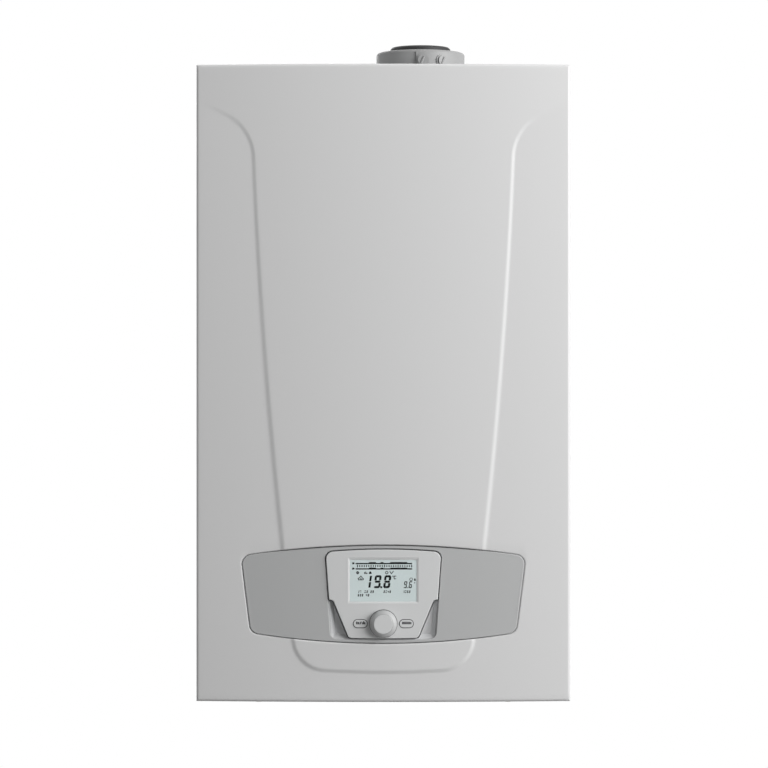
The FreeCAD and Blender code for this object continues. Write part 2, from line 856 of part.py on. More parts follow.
def shield(inset):
    """The shield's drafted solid, set back by the inset."""
    return tapered(shield_outline, (f"front_y - overrun + {inset}", "0"),
                   (f"front_y + shield_depth + {inset}", "step_slope*(shield_depth + overrun)"))


def casing_blank(inset, rear):
    """The embossed front as a full block, set in by the inset, with all edges of its face rounded."""
    width = (f"-(case_width/2 - {inset})", f"case_width/2 - {inset}")
    height = (inset, f"case_height - {inset}")
    crowned = bowed(width, height, rear, "front_radius", f"front_y + {inset}")
    cheeks = bowed(width, height, rear, "cheek_radius", f"cheek_y + {inset}")
    blank = common(crowned, fuse(cheeks, shield(inset)))
    side, levels, back = number(width[1]), [number(z) for z in height], number(rear)

    def on_face(box):
        upright = abs(abs(box.Center.x) - side) < TOUCH and box.XLength < TOUCH
        level = box.ZLength < TOUCH and min(abs(box.ZMin - z) for z in levels) < TOUCH
        return box.YMax < back - TOUCH and (upright or level)

    return soften(blank, f"casing_corner - {inset}", on_face)


def strip_outline(grow):
    return mirrored([(f"strip_top_half + ({grow})", f"strip_top + ({grow})"),
                     (f"strip_foot_half + ({grow})", f"strip_foot - ({grow})")],
                    top="strip_top_radius", foot="strip_foot_radius")


def window_outline(grow):
    return mirrored([(f"window_top_half + ({grow})", f"window_top + ({grow})"),
                     (f"window_foot_half + ({grow})", f"window_foot - ({grow})")],
                    top="window_top_radius", foot="window_foot_radius")


def front_casing():
    """Embossed one-piece front with returned edges and the opening for the control strip."""
    shell = cut(casing_blank("0", "rim_y"), casing_blank("casing_gauge", "rim_y + overrun"))
    opening = prism(strip_outline("strip_gap"), "rim_y", "front_y - overrun",
                    [("strip_corner + strip_gap", range(4))])
    holes = [rod("z", (f"{side}*casing_screw_x", "screw_y"), ("-overrun", "casing_gauge + overrun"),
                 "casing_screw_radius + seat") for side in (-1, 1)]
    return cut(shell, opening, *holes)


def casing_screws():
    screws = []
    for side in (-1, 1):
        spot = (f"{side}*casing_screw_x", "screw_y")
        shank = rod("z", spot, ("0", "casing_gauge + 3*seat + frame_gauge + casing_screw_radius"),
                    "casing_screw_radius")
        screws.append(fuse(rod("z", spot, ("-casing_head_height", "0"), "casing_screw_head"), shank))
    return group(*screws)


def shallow_barrel(offset):
    """Tall cylinder that follows the casing's crown, moved forward by the offset."""
    return rod("z", ("0", "front_y + front_radius"), ("0", "case_height"), f"front_radius + ({offset})")


def control_fascia():
    """Moulded strip with a skirt that stands on the control box and a window for the unit."""
    inside, outside = "box_front + overrun", "front_y - 2*overrun"
    blank = common(prism(strip_outline("0"), "box_front", outside, [("strip_corner", range(4))]),
                   shallow_barrel("-strip_setback"))
    hollow = common(prism(strip_outline("-strip_skirt"), inside, outside,
                          [("strip_corner - strip_skirt", range(4))]),
                    shallow_barrel("-strip_setback - strip_skin"))
    window = prism(window_outline("0"), inside, outside, [("window_corner", range(4))])
    tray_room = common(prism(window_outline("tray_wall + seat"), inside, outside,
                             [("window_corner + tray_wall + seat", range(4))]),
                       shallow_barrel("-strip_setback - strip_skin"))
    strip = cut(blank, hollow, window, tray_room)
    behind = number("front_y + strip_setback + 3/4*strip_skin")
    half = number("window_top_half + overrun")

    def window_edge(box):
        return box.YMax < behind and box.XMin > -half and box.XMax < half

    return soften(strip, "strip_edge", window_edge)


def dock_tray():
    """Pan that the control unit docks in, filled at its lower corners but for two dished finger scoops."""
    blank = common(prism(window_outline("tray_wall"), "box_front", "front_y - overrun",
                         [("window_corner + tray_wall", range(4))]),
                   shallow_barrel("-strip_setback - strip_skin - seat"))
    dock = unit_block("box_front - tray_wall", "front_y - 2*overrun", "unit_gap")
    scoops = tapered(window_outline, ("front_y", "scoop_slope/2"), ("front_y + scoop_depth", "-scoop_slope"))
    return cut(blank, dock, scoops)


def control_box():
    """Housing with the electronics: front wall, four sides, board posts and two pivot pins."""
    outer = block(("-box_half", "box_half"), ("box_front", "box_rear"), ("box_low", "box_high"))
    inner = block(("-box_half + box_wall", "box_half - box_wall"),
                  ("box_front + box_wall", "box_rear + overrun"),
                  ("box_low + box_wall", "box_high - box_wall"))
    posts = [rod("y", (f"{sx}*(board_width/2 - 2*standoff_radius)",
                       f"(box_low + box_high)/2 + {sz}*(board_height/2 - 2*standoff_radius)"),
                 ("box_front + box_wall", "board_y"), "standoff_radius") for sx in (-1, 1) for sz in (-1, 1)]
    pivots = [rod("x", ("box_rear - pivot_height", "box_low + pivot_height"), span, "pivot_radius")
              for span in (("-inner_half + seat", "-box_half"), ("box_half", "inner_half - seat"))]
    return fuse(cut(outer, inner), *posts, *pivots)


def control_box_lid():
    """Rear lid of the control box."""
    return block(("-box_half", "box_half"), ("box_rear", "box_rear + box_wall"), ("box_low", "box_high"))


def main_board():
    """Circuit board on the posts, with a row of relays and a transformer."""
    middle = "(box_low + box_high)/2"
    board = block(("-board_width/2", "board_width/2"), ("board_y", "board_y + board_gauge"),
                  (f"{middle} - board_height/2", f"{middle} + board_height/2"))
    face = "board_y + board_gauge"
    relays = [block((f"-board_width/2 + relay_width + {i}*relay_pitch",
                     f"-board_width/2 + 2*relay_width + {i}*relay_pitch"),
                    (face, f"{face} + relay_depth"), (middle, f"{middle} + relay_height"))
              for i in range(SIZES["relay_count"])]
    core = block(("board_width/2 - 4*relay_width", "board_width/2 - relay_width"),
                 (face, f"{face} + 1.5*relay_depth"),
                 (f"{middle} - relay_height", f"{middle} + relay_height"))
    return fuse(board, *relays, core)


def unit_outline(grow):
    """Outline of the control unit, its lower corners cut away for the fingers."""
    return mirrored([
        (f"window_top_half - unit_gap + ({grow})", f"window_top - unit_gap + ({grow})"),
        (f"window_foot_half - unit_gap + (window_top_half - window_foot_half)"
         f"*(notch_top - window_foot)/(window_top - window_foot) + ({grow})", f"notch_top - ({grow})"),
        (f"notch_half + ({grow})", f"notch_top - ({grow})"),
        (f"notch_foot_half + ({grow})", f"window_foot + unit_gap - ({grow})"),
    ], top="window_top_radius", foot="window_foot_radius")


def unit_block(rear, front, grow="0"):
    """The control unit's outline as a body, its corners rounded."""
    return prism(unit_outline(grow), rear, front,
                 [(f"unit_corner + {grow}", (0, 7)), (f"notch_nip + {grow}", (1, 6)),
                  (f"notch_round - {grow}", (2, 5)), (f"notch_round + {grow}", (3, 4))])


def unit_core(rear, front):
    """The hollow inside it, one wall smaller."""
    return prism(unit_outline("-unit_wall"), rear, front,
                 [("unit_corner - unit_wall", (0, 7)), ("notch_round", (2, 5)),
                  ("notch_round - unit_wall", (3, 4))])


def unit_rear_shell():
    """Back of the control unit, with the posts that carry its board."""
    pan = cut(unit_block("unit_rear", "unit_split"),
              unit_core("unit_rear - unit_wall", "unit_split - overrun"))
    posts = [rod("y", (f"{side}*post_half", z), ("unit_board_rear", "unit_rear - unit_wall"), "post_radius")
             for side in (-1, 1) for z in ("post_low", "post_high")]
    return fuse(pan, *posts)


def pill(x, z, length, height, rear, front):
    """A key's round-ended outline as a body."""
    half = f"({length} - {height})/2"
    straight = block((f"{x} - {half}", f"{x} + {half}"), (front, rear),
                     (f"{z} - {height}/2", f"{z} + {height}/2"))
    ends = [rod("y", (f"{x} + {side}*{half}", z), (front, rear), f"{height}/2") for side in (-1, 1)]
    return fuse(straight, *ends)


def unit_front_shell():
    """Front of the control unit: screen opening with sloped sides, shaft hole and two key holes."""
    sharp = common(unit_block("unit_split", "front_y - 3*overrun"), shallow_barrel("unit_proud"))
    outer = soften(sharp, "unit_edge", lambda box: box.YMax < number("unit_inside"))
    inner = unit_core("unit_split + overrun", "unit_inside")
    screen = doc.addObject("Part::Wedge", "ScreenOpening")
    reach = "(unit_inside + seat) - (unit_front - overrun)"
    slope = "screen_lip/2"
    bind(screen, Xmin=f"-screen_half - {slope}", Xmax=f"screen_half + {slope}",
         Zmin=f"screen_low - {slope}", Zmax=f"screen_high + {slope}", Ymin="0", Ymax=reach,
         X2min="-screen_half", X2max="screen_half", Z2min="screen_low", Z2max="screen_high")
    put(screen, y="unit_front - overrun")
    through = ("front_y - 5*overrun", "unit_inside + overrun")
    shaft = rod("y", ("0", "knob_z"), through, "shaft_radius + seat")
    keys = [pill(f"{side}*key_x", "knob_z", "(key_length + 2*key_clear)", "(key_height + 2*key_clear)",
                 through[1], through[0]) for side in (-1, 1)]
    return cut(outer, inner, screen, shaft, *keys)


def display_window():
    """Clear cover behind the screen opening."""
    return block(("-screen_half - screen_lip", "screen_half + screen_lip"), ("unit_inside", "glass_rear"),
                 ("screen_low - screen_lip", "screen_high + screen_lip"))


def display_panel():
    """Display module against the clear cover."""
    return block(("-screen_half - screen_lip", "screen_half + screen_lip"), ("glass_rear", "screen_rear"),
                 ("screen_low - screen_lip", "screen_high + screen_lip"))


def unit_board():
    """Circuit board behind the display, with a tongue for the keys and the knob."""
    depth = ("screen_rear", "unit_board_rear")
    upper = block(("-unit_board_half", "unit_board_half"), depth,
                  ("unit_board_low", "screen_high + screen_lip"))
    tongue = block(("-key_board_half", "key_board_half"), depth, ("key_board_low", "unit_board_low"))
    return fuse(upper, tongue)


def knob_plunger():
    """Sliding disc of the push switch, moved by the knob's shaft."""
    return rod("y", ("0", "knob_z"), ("plunger_front", "plunger_front + plunger_gauge"), "plunger_radius")


def control_knob():
    """Turning and pressing knob with a bevelled rim, on its shaft."""
    bevel = "(knob_radius - knob_face_radius)"
    profile = [("0", "0"), ("knob_radius", "0"), ("knob_radius", f"knob_height - {bevel}"),
               ("knob_face_radius", "knob_height"), ("0", "knob_height")]
    skirt = number("knob_base")
    cap = soften(turned(profile, "0", "knob_base", "knob_z", aim="front"), "knob_edge",
                 lambda box: box.YLength < TOUCH and box.YMax < skirt - TOUCH)
    shaft = rod("y", ("0", "knob_z"), ("knob_base", "plunger_front"), "shaft_radius")
    return fuse(cap, shaft)


def button(side):
    """Round-ended key with a flange that keeps it behind the unit's face."""
    x = f"{side}*key_x"
    face = "unit_front - key_proud"
    cap = soften(pill(x, "knob_z", "key_length", "key_height", "unit_inside + seat", face),
                 "key_edge", lambda box: abs(box.YMax - number(face)) < TOUCH)
    flange = pill(x, "knob_z", "(key_length + 2*key_flange)", "(key_height + 2*key_flange)",
                  "unit_inside + seat + key_flange_gauge", "unit_inside + seat")
    return fuse(cap, flange)


def left_button():
    return button(-1)


def right_button():
    return button(1)


TEST_ANGLES = (2, 27)            # degrees from straight ahead towards the right


def test_point(radius, reach):
    """Two radial rods on the collar's front right; reach gives their inner and outer radius."""
    rods = []
    for angle in TEST_ANGLES:
        piece = doc.addObject("Part::Cylinder", "TestPoint")
        bind(piece, Radius=radius, Height=f"({reach[1]}) - ({reach[0]})")
        sine, cosine = f"sin({angle})", f"cos({angle})"
        turn = Rotation(Vector(0, 0, 1), angle).multiply(AIM["front"])
        put(piece, f"flue_x + ({reach[0]})*{sine}", f"flue_y - ({reach[0]})*{cosine}", "roof + test_height",
            turn=turn)
        rods.append(piece)
    return rods


def flue_collar():
    """Moulded collar round the air opening, with a flange, a raised pad and two test points in front."""
    profile = [("collar_bore", "0"), ("collar_flange", "0"), ("collar_flange", "collar_flange_gauge"),
               ("collar_radius", "collar_flange_gauge"), ("collar_radius", "collar_height - collar_round"),
               ("collar_radius - collar_round/3", "collar_height - collar_round/3"),
               ("collar_radius - collar_round", "collar_height"), ("collar_bore", "collar_height")]
    outer = turned(profile, "flue_x", "flue_y", "roof")
    pad = doc.addObject("Part::Cylinder", "Pad")
    bind(pad, Radius="collar_radius + pad_proud", Height="collar_height - pad_drop", Angle="pad_sweep")
    put(pad, "flue_x", "flue_y", "roof", turn=Rotation(Vector(0, 0, 1), number("pad_start - 90")))
    bosses = test_point("test_boss_radius", ("collar_bore + seat", "collar_radius + test_boss_proud"))
    bore = rod("z", ("flue_x", "flue_y"), ("roof - overrun", "roof + collar_height + overrun"), "collar_bore")
    drilled = test_point("test_plug_radius + seat",
                         ("collar_bore/2", "collar_radius + test_boss_proud + overrun"))
    through = ("roof - overrun", "roof + collar_flange_gauge + overrun")
    holes = [rod("z", spot, through, "flue_screw_radius + seat") for spot in flue_screw_spots()]
    return cut(fuse(outer, pad, *bosses), bore, *drilled, *holes)


def test_point_caps():
    """Plugs of the two flue test points, each with a slanting bar to grip."""
    face = "collar_radius + test_boss_proud"
    heads = test_point("test_cap_radius", (face, f"{face} + test_cap_length/2"))
    plugs = test_point("test_plug_radius", ("collar_radius - test_cap_length/2", face))
    grips = []
    for angle in TEST_ANGLES:
        bar = doc.addObject("Part::Cylinder", "Grip")
        bind(bar, Radius="grip_radius", Height="grip_length")
        out, aside = f"({face} + test_cap_length/2)", "grip_length/2*sin(grip_lean)"
        turn = Rotation(Vector(0, 0, 1), angle).multiply(Rotation(Vector(0, 1, 0), number("grip_lean")))
        put(bar, f"flue_x + {out}*sin({angle}) - {aside}*cos({angle})",
            f"flue_y - {out}*cos({angle}) - {aside}*sin({angle})",
            "roof + test_height - grip_length/2*cos(grip_lean)", turn=turn)
        grips.append(bar)
    return group(*[fuse(*pieces_of_one) for pieces_of_one in zip(heads, plugs, grips)])


def flue_seal():
    """Rubber seal over the top of the flue socket."""
    outside = "socket_bore + socket_wall + seat"
    profile = [("socket_bore + seat", "socket_high"), ("socket_bore + seat", "seal_top"),
               ("seal_radius - seal_round", "seal_top"), ("seal_radius", "seal_top - seal_round"),
               ("seal_radius", "socket_high - seal_skirt"), (outside, "socket_high - seal_skirt"),
               (outside, "socket_high")]
    return turned(profile, "flue_x", "flue_y", "roof")


def flue_screws():
    """Four pan-head screws through the collar's flange and the roof."""
    screws = []
    for spot in flue_screw_spots():
        face = "roof + collar_flange_gauge"
        head = rod("z", spot, (face, f"{face} + flue_head_height"), "flue_head_radius")
        shank = rod("z", spot, ("roof - 3*frame_gauge", face), "flue_screw_radius")
        screws.append(fuse(head, shank))
    return group(*screws)


def flue_duct():
    """Duct on the exchanger's neck, narrowed at its top to the socket that takes the flue pipe."""
    low, high = "neck_top - roof", "-socket_low"
    shoulder, outside = f"{high} + duct_overlap", "socket_bore + socket_wall"
    profile = [("duct_bore", low), ("duct_radius", low), ("duct_radius", shoulder), (outside, shoulder),
               (outside, "socket_high"), ("socket_bore", "socket_high"), ("socket_bore", high),
               ("duct_bore", high)]
    return turned(profile, "flue_x", "flue_y", "roof")


def exchanger_shell():
    """Drum with cooling ribs, four feet on the frame, flue neck, two water ports and a drain."""
    axis = ("exch_x", "exch_z")
    drum = [rod("y", axis, ("exch_front", "exch_rear"), "exch_radius - exch_rib")]
    for i in range(SIZES["exch_rib_count"]):
        start = f"exch_front + {i}*(exch_length - exch_rib_width)/(exch_rib_count - 1)"
        drum.append(rod("y", axis, (start, f"{start} + exch_rib_width"), "exch_radius"))
    for angle in (45, 135, 225, 315):
        spot = (f"exch_x + exch_foot_circle*cos({angle})", f"exch_z + exch_foot_circle*sin({angle})")
        drum.append(rod("y", spot, ("exch_rear", "frame_face"), "exch_foot_radius"))
    drum.append(rod("z", ("flue_x", "flue_y"), ("exch_z", "neck_top"), "neck_radius"))
    drum.append(rod("z", ("exch_x", "-drain_y"), ("drain_bottom", "exch_z"), "drain_radius"))
    for side in (-1, 1):
        port = (f"exch_x + {side}*port_x", "-port_y")
        drum.append(rod("z", port, ("port_bottom", "exch_z"), "port_radius"))
    room = rod("y", axis, ("exch_front - overrun", "exch_rear - exch_wall"),
               "exch_radius - exch_rib - exch_wall")
    throat = rod("z", ("flue_x", "flue_y"), ("exch_z", "neck_top + overrun"), "duct_bore")
    return cut(fuse(*drum), room, throat)


def exchanger_coil():
    """Water coil around the burner: flattened turns, drawn as one sleeve grooved between them."""
    outer, groove, inner = "coil_radius + coil_tube", "coil_radius", "coil_radius - coil_tube"
    turns = SIZES["coil_turns"]
    profile = [(inner, "0")]
    for i in range(turns):
        start, end = f"{i}*coil_length/{turns}", f"{i + 1}*coil_length/{turns} - coil_gap"
        profile += [(outer, start), (outer, end)]
        if i < turns - 1:
            profile += [(groove, end), (groove, f"{end} + coil_gap")]
    profile.append((inner, "coil_length - coil_gap"))
    return turned(profile, "exch_x", "(exch_front + exch_rear - exch_wall)/2 - coil_length/2", "exch_z", "y")


def door_nut_spots():
    return [(f"exch_x + door_nut_circle*cos({360 * i / SIZES['door_nut_count'] + 30})",
             f"exch_z + door_nut_circle*sin({360 * i / SIZES['door_nut_count'] + 30})")
            for i in range(SIZES["door_nut_count"])]


def electrode_spots():
    return [(f"exch_x + {side}*electrode_spacing/2", "exch_z + electrode_height") for side in (-1, 1)]


def burner_door():
    """Round door of the exchanger, with the mixture opening and two electrode holes."""
    axis = ("exch_x", "exch_z")
    disc = rod("y", axis, ("door_front", "exch_front"), "door_radius")
    rim = rod("y", axis, ("door_front + door_gauge/2", "exch_front"), "exch_radius")
    through = ("door_front - overrun", "exch_front + overrun")
    mouth = rod("y", axis, through, "burner_bore - mouth_step")
    pins = [rod("y", spot, through, "ceramic_radius + seat") for spot in electrode_spots()]
    return cut(fuse(disc, rim), mouth, *pins)


def burner_tube():
    """Burner: a flanged tube behind the door's mouth, closed at its far end."""
    axis = ("exch_x", "exch_z")
    rear = "exch_front + burner_length"
    tube = rod("y", axis, ("exch_front", rear), "burner_radius")
    hollow = ("exch_front - overrun", f"{rear} - (burner_radius - burner_bore)")
    return cut(tube, rod("y", axis, hollow, "burner_bore"))


def door_nuts():
    """Six nuts around the door."""
    nuts = []
    for spot in door_nut_spots():
        nut = doc.addObject("Part::Prism", "Nut")
        nut.Polygon = 6
        bind(nut, Circumradius="door_nut_radius", Height="door_nut_height")
        nuts.append(put(nut, spot[0], "door_front - door_nut_height", spot[1], turn=AIM["y"]))
    return group(*nuts)


def ignition_electrodes():
    """Two electrodes in their ceramics."""
    pins = []
    for spot in electrode_spots():
        ceramic = rod("y", spot, ("door_front - ceramic_length", "exch_front"), "ceramic_radius")
        pins.append(fuse(ceramic, rod("y", spot, ("exch_front", "exch_front + electrode_length"),
                                      "electrode_radius")))
    return group(*pins)


def fan_outline(inset):
    """Spiral scroll of four arcs that opens into an upward outlet on its right, set in by the inset."""
    half = "scroll_step/2"
    arcs = [f"scroll_radius - {inset} - {quarter + 0.5}*scroll_step" for quarter in range(4)]
    left, right = f"outlet_left + {inset}", f"outlet_right - {inset}"
    top = "outlet_top" if inset == "0" else "outlet_top + overrun"
    outline = [
        (left, top), (right, top),
        (right, f"fan_z + {half}", arcs[0]),
        (f"fan_x + {half}", f"fan_z - (scroll_radius - {inset} - scroll_step)", arcs[1]),
        (f"fan_x - (scroll_radius - {inset} - 2*scroll_step)", f"fan_z - {half}", arcs[2]),
        (f"fan_x - {half}", f"fan_z + scroll_radius - {inset} - 3*scroll_step", arcs[3]),
        (left, f"fan_z + {half} + sqrt(({arcs[3]})^2 - ({left} - fan_x + {half})^2)"),
    ]
    return prism(outline, f"fan_rear - {inset}", f"fan_front + {inset}")


def fan_housing():
    """Fan scroll with its front inlet and rear shaft opening."""
    inlet = rod("y", ("fan_x", "fan_z"), ("fan_front - overrun", "fan_front + 2*scroll_wall"), "inlet_bore")
    neck = rod("y", ("fan_x", "fan_z"), ("fan_rear - 2*scroll_wall", "fan_rear + overrun"),
               "fan_shaft + shaft_room")
    return cut(fan_outline("0"), fan_outline("scroll_wall"), inlet, neck)


def fan_motor():
    """Motor can behind the scroll, with a bore for the fan's shaft."""
    axis = ("fan_x", "fan_z")
    profile = [("0", "0"), ("motor_radius", "0"), ("motor_radius", "motor_length - motor_round"),
               ("motor_radius - motor_round", "motor_length"), ("0", "motor_length")]
    can = turned(profile, "fan_x", "fan_rear", "fan_z", aim="y")
    bore = ("fan_rear - overrun", "fan_rear + motor_length/2 + seat")
    return cut(can, rod("y", axis, bore, "fan_shaft + seat"))


def fan_impeller():
    """Bladed wheel on its shaft."""
    axis = ("fan_x", "fan_z")
    low, high = "fan_front + scroll_wall + impeller_clear", "fan_rear - scroll_wall - impeller_clear"
    plate = rod("y", axis, (f"{high} - 2*blade_gauge", high), "impeller_radius")
    hub = rod("y", axis, (f"{high} - scroll_depth/2", high), "impeller_hub")
    shaft = rod("y", axis, (f"{high} - overrun", "fan_rear + motor_length/2"), "fan_shaft")
    blades = []
    for i in range(SIZES["blade_count"]):
        angle = 360 * i / SIZES["blade_count"]
        blade = doc.addObject("Part::Box", "Blade")
        bind(blade, Length="impeller_radius - inlet_bore - 2*blade_gauge", Width=f"({high}) - ({low})",
             Height="blade_gauge")
        sine, cosine = f"sin({angle})", f"cos({angle})"
        start = "(inlet_bore + blade_gauge)"
        put(blade, f"fan_x + {start}*{cosine}", low, f"fan_z - {start}*{sine}",
            turn=Rotation(Vector(0, 1, 0), angle + SIZES["blade_lean"]))
        blades.append(blade)
    return fuse(plate, hub, shaft, *blades)


def air_mixer():
    """Ring in front of the fan where gas meets the air."""
    axis = ("fan_x", "fan_z")
    body = rod("y", axis, ("mixer_front", "fan_front"), "mixer_radius")
    boss = rod("x", ("mixer_y", "fan_z"), ("fan_x", "fan_x + mixer_radius + mixer_boss"),
               "gas_tube_radius + mixer_boss_wall")
    throat = rod("y", axis, ("mixer_front - overrun", "fan_front + overrun"), "mixer_throat")
    return cut(fuse(body, boss), throat)


def mixture_duct():
    """Moulded duct from the fan's outlet up to the burner door."""
    depth = ("fan_front", "fan_front + duct_depth")
    middle = "(outlet_left + outlet_right)/2"
    outline = [("outlet_left", "outlet_top"), ("outlet_right", "outlet_top"), ("outlet_right", "duct_top"),
               ("outlet_left", "duct_top")]
    body = prism(outline, depth[1], depth[0], [("duct_round", (2, 3))])
    inset = "scroll_wall"
    hollow = block((f"outlet_left + {inset}", f"outlet_right - {inset}"),
                   (f"{depth[0]} + {inset}", f"{depth[1]} - {inset}"),
                   ("outlet_top - overrun", "duct_top - duct_round"))
    spigot = rod("y", ("exch_x", "exch_z"), (f"{depth[1]} - overrun", "door_front"), "burner_bore - seat")
    mouth = rod("y", ("exch_x", "exch_z"), (f"{depth[1]} - 2*{inset}", "door_front + overrun"),
                "burner_bore - mouth_step")
    flange = block((f"{middle} - outlet_width/2 - duct_flange", f"{middle} + outlet_width/2 + duct_flange"),
                   (depth[0], depth[1]), ("outlet_top", "outlet_top + duct_flange"))
    return cut(fuse(body, spigot, flange), hollow, mouth)


def gas_valve():
    """Cast gas valve with two coils on top and its adjuster in front."""
    right, high = "valve_left + valve_width", "valve_low + valve_height"
    middle, deck = "valve_left + valve_width/2", f"{high} - valve_coil_height"
    outline = [("valve_left", deck), (right, deck), (right, "valve_low"), ("valve_left", "valve_low")]
    body = prism(outline, "-(valve_front - valve_depth)", "-valve_front", [("valve_round", range(4))])
    coils = [rod("z", (f"{middle} + {side}*valve_coil_pitch/2", "-(valve_front - valve_depth/2)"),
                 (deck, high), "valve_coil_radius") for side in (-1, 1)]
    adjuster = rod("y", (middle, "valve_low + valve_height/4"),
                   ("-valve_front - adjuster_length", "-valve_front"), "valve_coil_radius/2")
    return fuse(body, *coils, adjuster)


def gas_inlet_pipe():
    """Pipe from the gas stub up to the valve."""
    return pipe([("0", "-stub_y", "gas_nut_top"), ("0", "-stub_y", "gas_run_z"),
                 ("gas_inlet_x", "-gas_inlet_y", "gas_run_z"), ("gas_inlet_x", "-gas_inlet_y", "valve_low")],
                "gas_pipe_radius", "gas_bend", "pipe_wall")


def gas_supply_tube():
    """Tube from the valve to the mixer."""
    level = "valve_low + valve_height/4"
    return pipe([("valve_left", "-gas_inlet_y", level), ("gas_tube_x", "-gas_inlet_y", level),
                 ("gas_tube_x", "mixer_y", "fan_z"),
                 ("fan_x + mixer_radius + mixer_boss", "mixer_y", "fan_z")],
                "gas_tube_radius", "gas_tube_bend", "pipe_wall")


def expansion_vessel():
    """Flat domed steel vessel on a boss of the left side panel."""
    half = "vessel_face/2"
    profile = [("0", "-vessel_boss"), ("vessel_boss_radius", "-vessel_boss"), ("vessel_boss_radius", "0"),
               ("vessel_radius - vessel_dome", "0"), ("vessel_radius", f"{half} - vessel_rim/2"),
               ("vessel_radius + vessel_seam", f"{half} - vessel_seam_half"),
               ("vessel_radius + vessel_seam", f"{half} + vessel_seam_half"),
               ("vessel_radius", f"{half} + vessel_rim/2"), ("vessel_radius - vessel_dome", "vessel_face"),
               ("0", "vessel_face")]
    inside = "vessel_radius - vessel_gauge"
    hollow = [("0", "vessel_gauge"), (f"{inside} - vessel_dome", "vessel_gauge"),
              (inside, f"{half} - vessel_rim/2"), (inside, f"{half} + vessel_rim/2"),
              (f"{inside} - vessel_dome", "vessel_face - vessel_gauge"), ("0", "vessel_face - vessel_gauge")]
    return cut(turned(profile, "vessel_left", "-vessel_y", "vessel_z", aim="x"),
               turned(hollow, "vessel_left", "-vessel_y", "vessel_z", aim="x"))


def vessel_tube():
    """Thin tube from the vessel down to the return group."""
    return pipe([("vessel_right", "-vessel_y", "vessel_z"), ("vessel_tube_x", "-vessel_y", "vessel_z"),
                 ("vessel_tube_x", "-vessel_tube_y", "vessel_tube_z"),
                 ("vessel_tube_end", "-vessel_tube_y", "vessel_tube_z"),
                 ("vessel_tube_end", "-vessel_tube_y", "group_foot_top")],
                "vessel_tube_radius", "gas_bend", "pipe_wall")


def group_block(side, top):
    """Upright L of a hydraulic group: a tower at the outside and a low foot towards the middle."""
    outline = [("group_inner", top), ("group_outer", top), ("group_outer", "deck_top"),
               ("group_foot_inner", "deck_top"), ("group_foot_inner", "group_foot_top"),
               ("group_inner", "group_foot_top")]
    placed = [(f"{side}*{x}", z) for x, z in outline]
    return prism(placed, "-group_rear", "-group_front", [("group_round", (0, 1, 4))])


def return_group():
    """Block on the right that carries the pump and takes in cold water and the heating return."""
    return group_block(1, "group_top")


def flow_group():
    """Block on the left with the diverter valve's bore."""
    bore = rod("z", ("actuator_x", "-actuator_y"), ("stem_low - seat", "valve_tower_top + overrun"),
               "stem_bore")
    return cut(group_block(-1, "valve_tower_top"), bore)


def plate_exchanger():
    """Stack of plates between the two groups."""
    length = ("-group_inner", "group_inner")
    body = block(length, ("-plate_front", "-plate_rear"), ("plate_low", "plate_high"))
    grooves = []
    step = "(plate_front - plate_rear)/plate_count"
    for i in range(1, SIZES["plate_count"]):
        at = f"-plate_front + {i}*{step}"
        for level in (("plate_high - 2*plate_groove", "plate_high + overrun"),
                      ("plate_low - overrun", "plate_low + 2*plate_groove")):
            grooves.append(block(("-group_inner + plate_margin", "group_inner - plate_margin"),
                                 (f"{at} - plate_groove/2", f"{at} + plate_groove/2"), level))
    return cut(body, *grooves)


def diverter_actuator():
    """Motor block clipped on the diverter valve."""
    spot = ("actuator_x", "-actuator_y")
    body = block(("actuator_x - actuator_half", "actuator_x + actuator_half"),
                 ("-actuator_y - actuator_half", "-actuator_y + actuator_half"),
                 ("valve_tower_top", "actuator_top"))
    dome = rod("z", spot, ("actuator_top", "actuator_top + dome_height"), "actuator_half - dome_inset")
    bore = rod("z", spot, ("valve_tower_top - overrun", "actuator_top - stem_room"), "stem_radius + seat")
    return cut(fuse(body, dome), bore)


def diverter_stem():
    """Sliding stem with the plug that turns the flow between heating and hot water."""
    spot = ("actuator_x", "-actuator_y")
    plug = rod("z", spot, ("stem_low", "stem_low + stem_plug_height"), "stem_plug")
    stem = rod("z", spot, ("stem_low", "actuator_top - stem_room - 2*stem_travel"), "stem_radius")
    return fuse(plug, stem)


def pump_body():
    """Pump volute on the return group, with the boss of the air vent."""
    axis = ("pump_x", "pump_z")
    depth = ("pump_front", "-pump_rear")
    drum = rod("y", axis, depth, "pump_radius")
    base = block(("pump_x - pump_base_half", "pump_x + pump_base_half"), depth, ("group_top", "pump_z"))
    boss = rod("z", ("vent_x", "-vent_y"), ("pump_z", "vent_boss_top"), "vent_radius - vent_boss_step")
    outlet = rod("z", ("pump_x", "-return_top_y"), ("pump_z", "pump_top + pump_neck"),
                 "pipe_radius + pump_neck_wall")
    room = rod("y", axis, ("pump_front - overrun", "-pump_rear - pump_wall"), "pump_radius - pump_wall")
    return cut(fuse(drum, base, boss, outlet), room)


def pump_motor():
    """Motor can of the pump, hollow for the rotor."""
    profile = [("0", "0"), ("pump_motor_radius", "0"),
               ("pump_motor_radius", "pump_motor_length - pump_motor_round"),
               ("pump_motor_radius - pump_motor_round", "pump_motor_length"), ("0", "pump_motor_length")]
    can = turned(profile, "pump_x", "pump_front", "pump_z", aim="front")
    room = rod("y", ("pump_x", "pump_z"), ("pump_motor_front + 3*pump_motor_wall", "pump_front + overrun"),
               "pump_motor_radius - pump_motor_wall")
    flange = ring("y", ("pump_x", "pump_z"), ("pump_front - pump_motor_wall", "pump_front"),
                  "pump_radius", "pump_motor_radius - pump_motor_wall")
    return fuse(cut(can, room), flange)


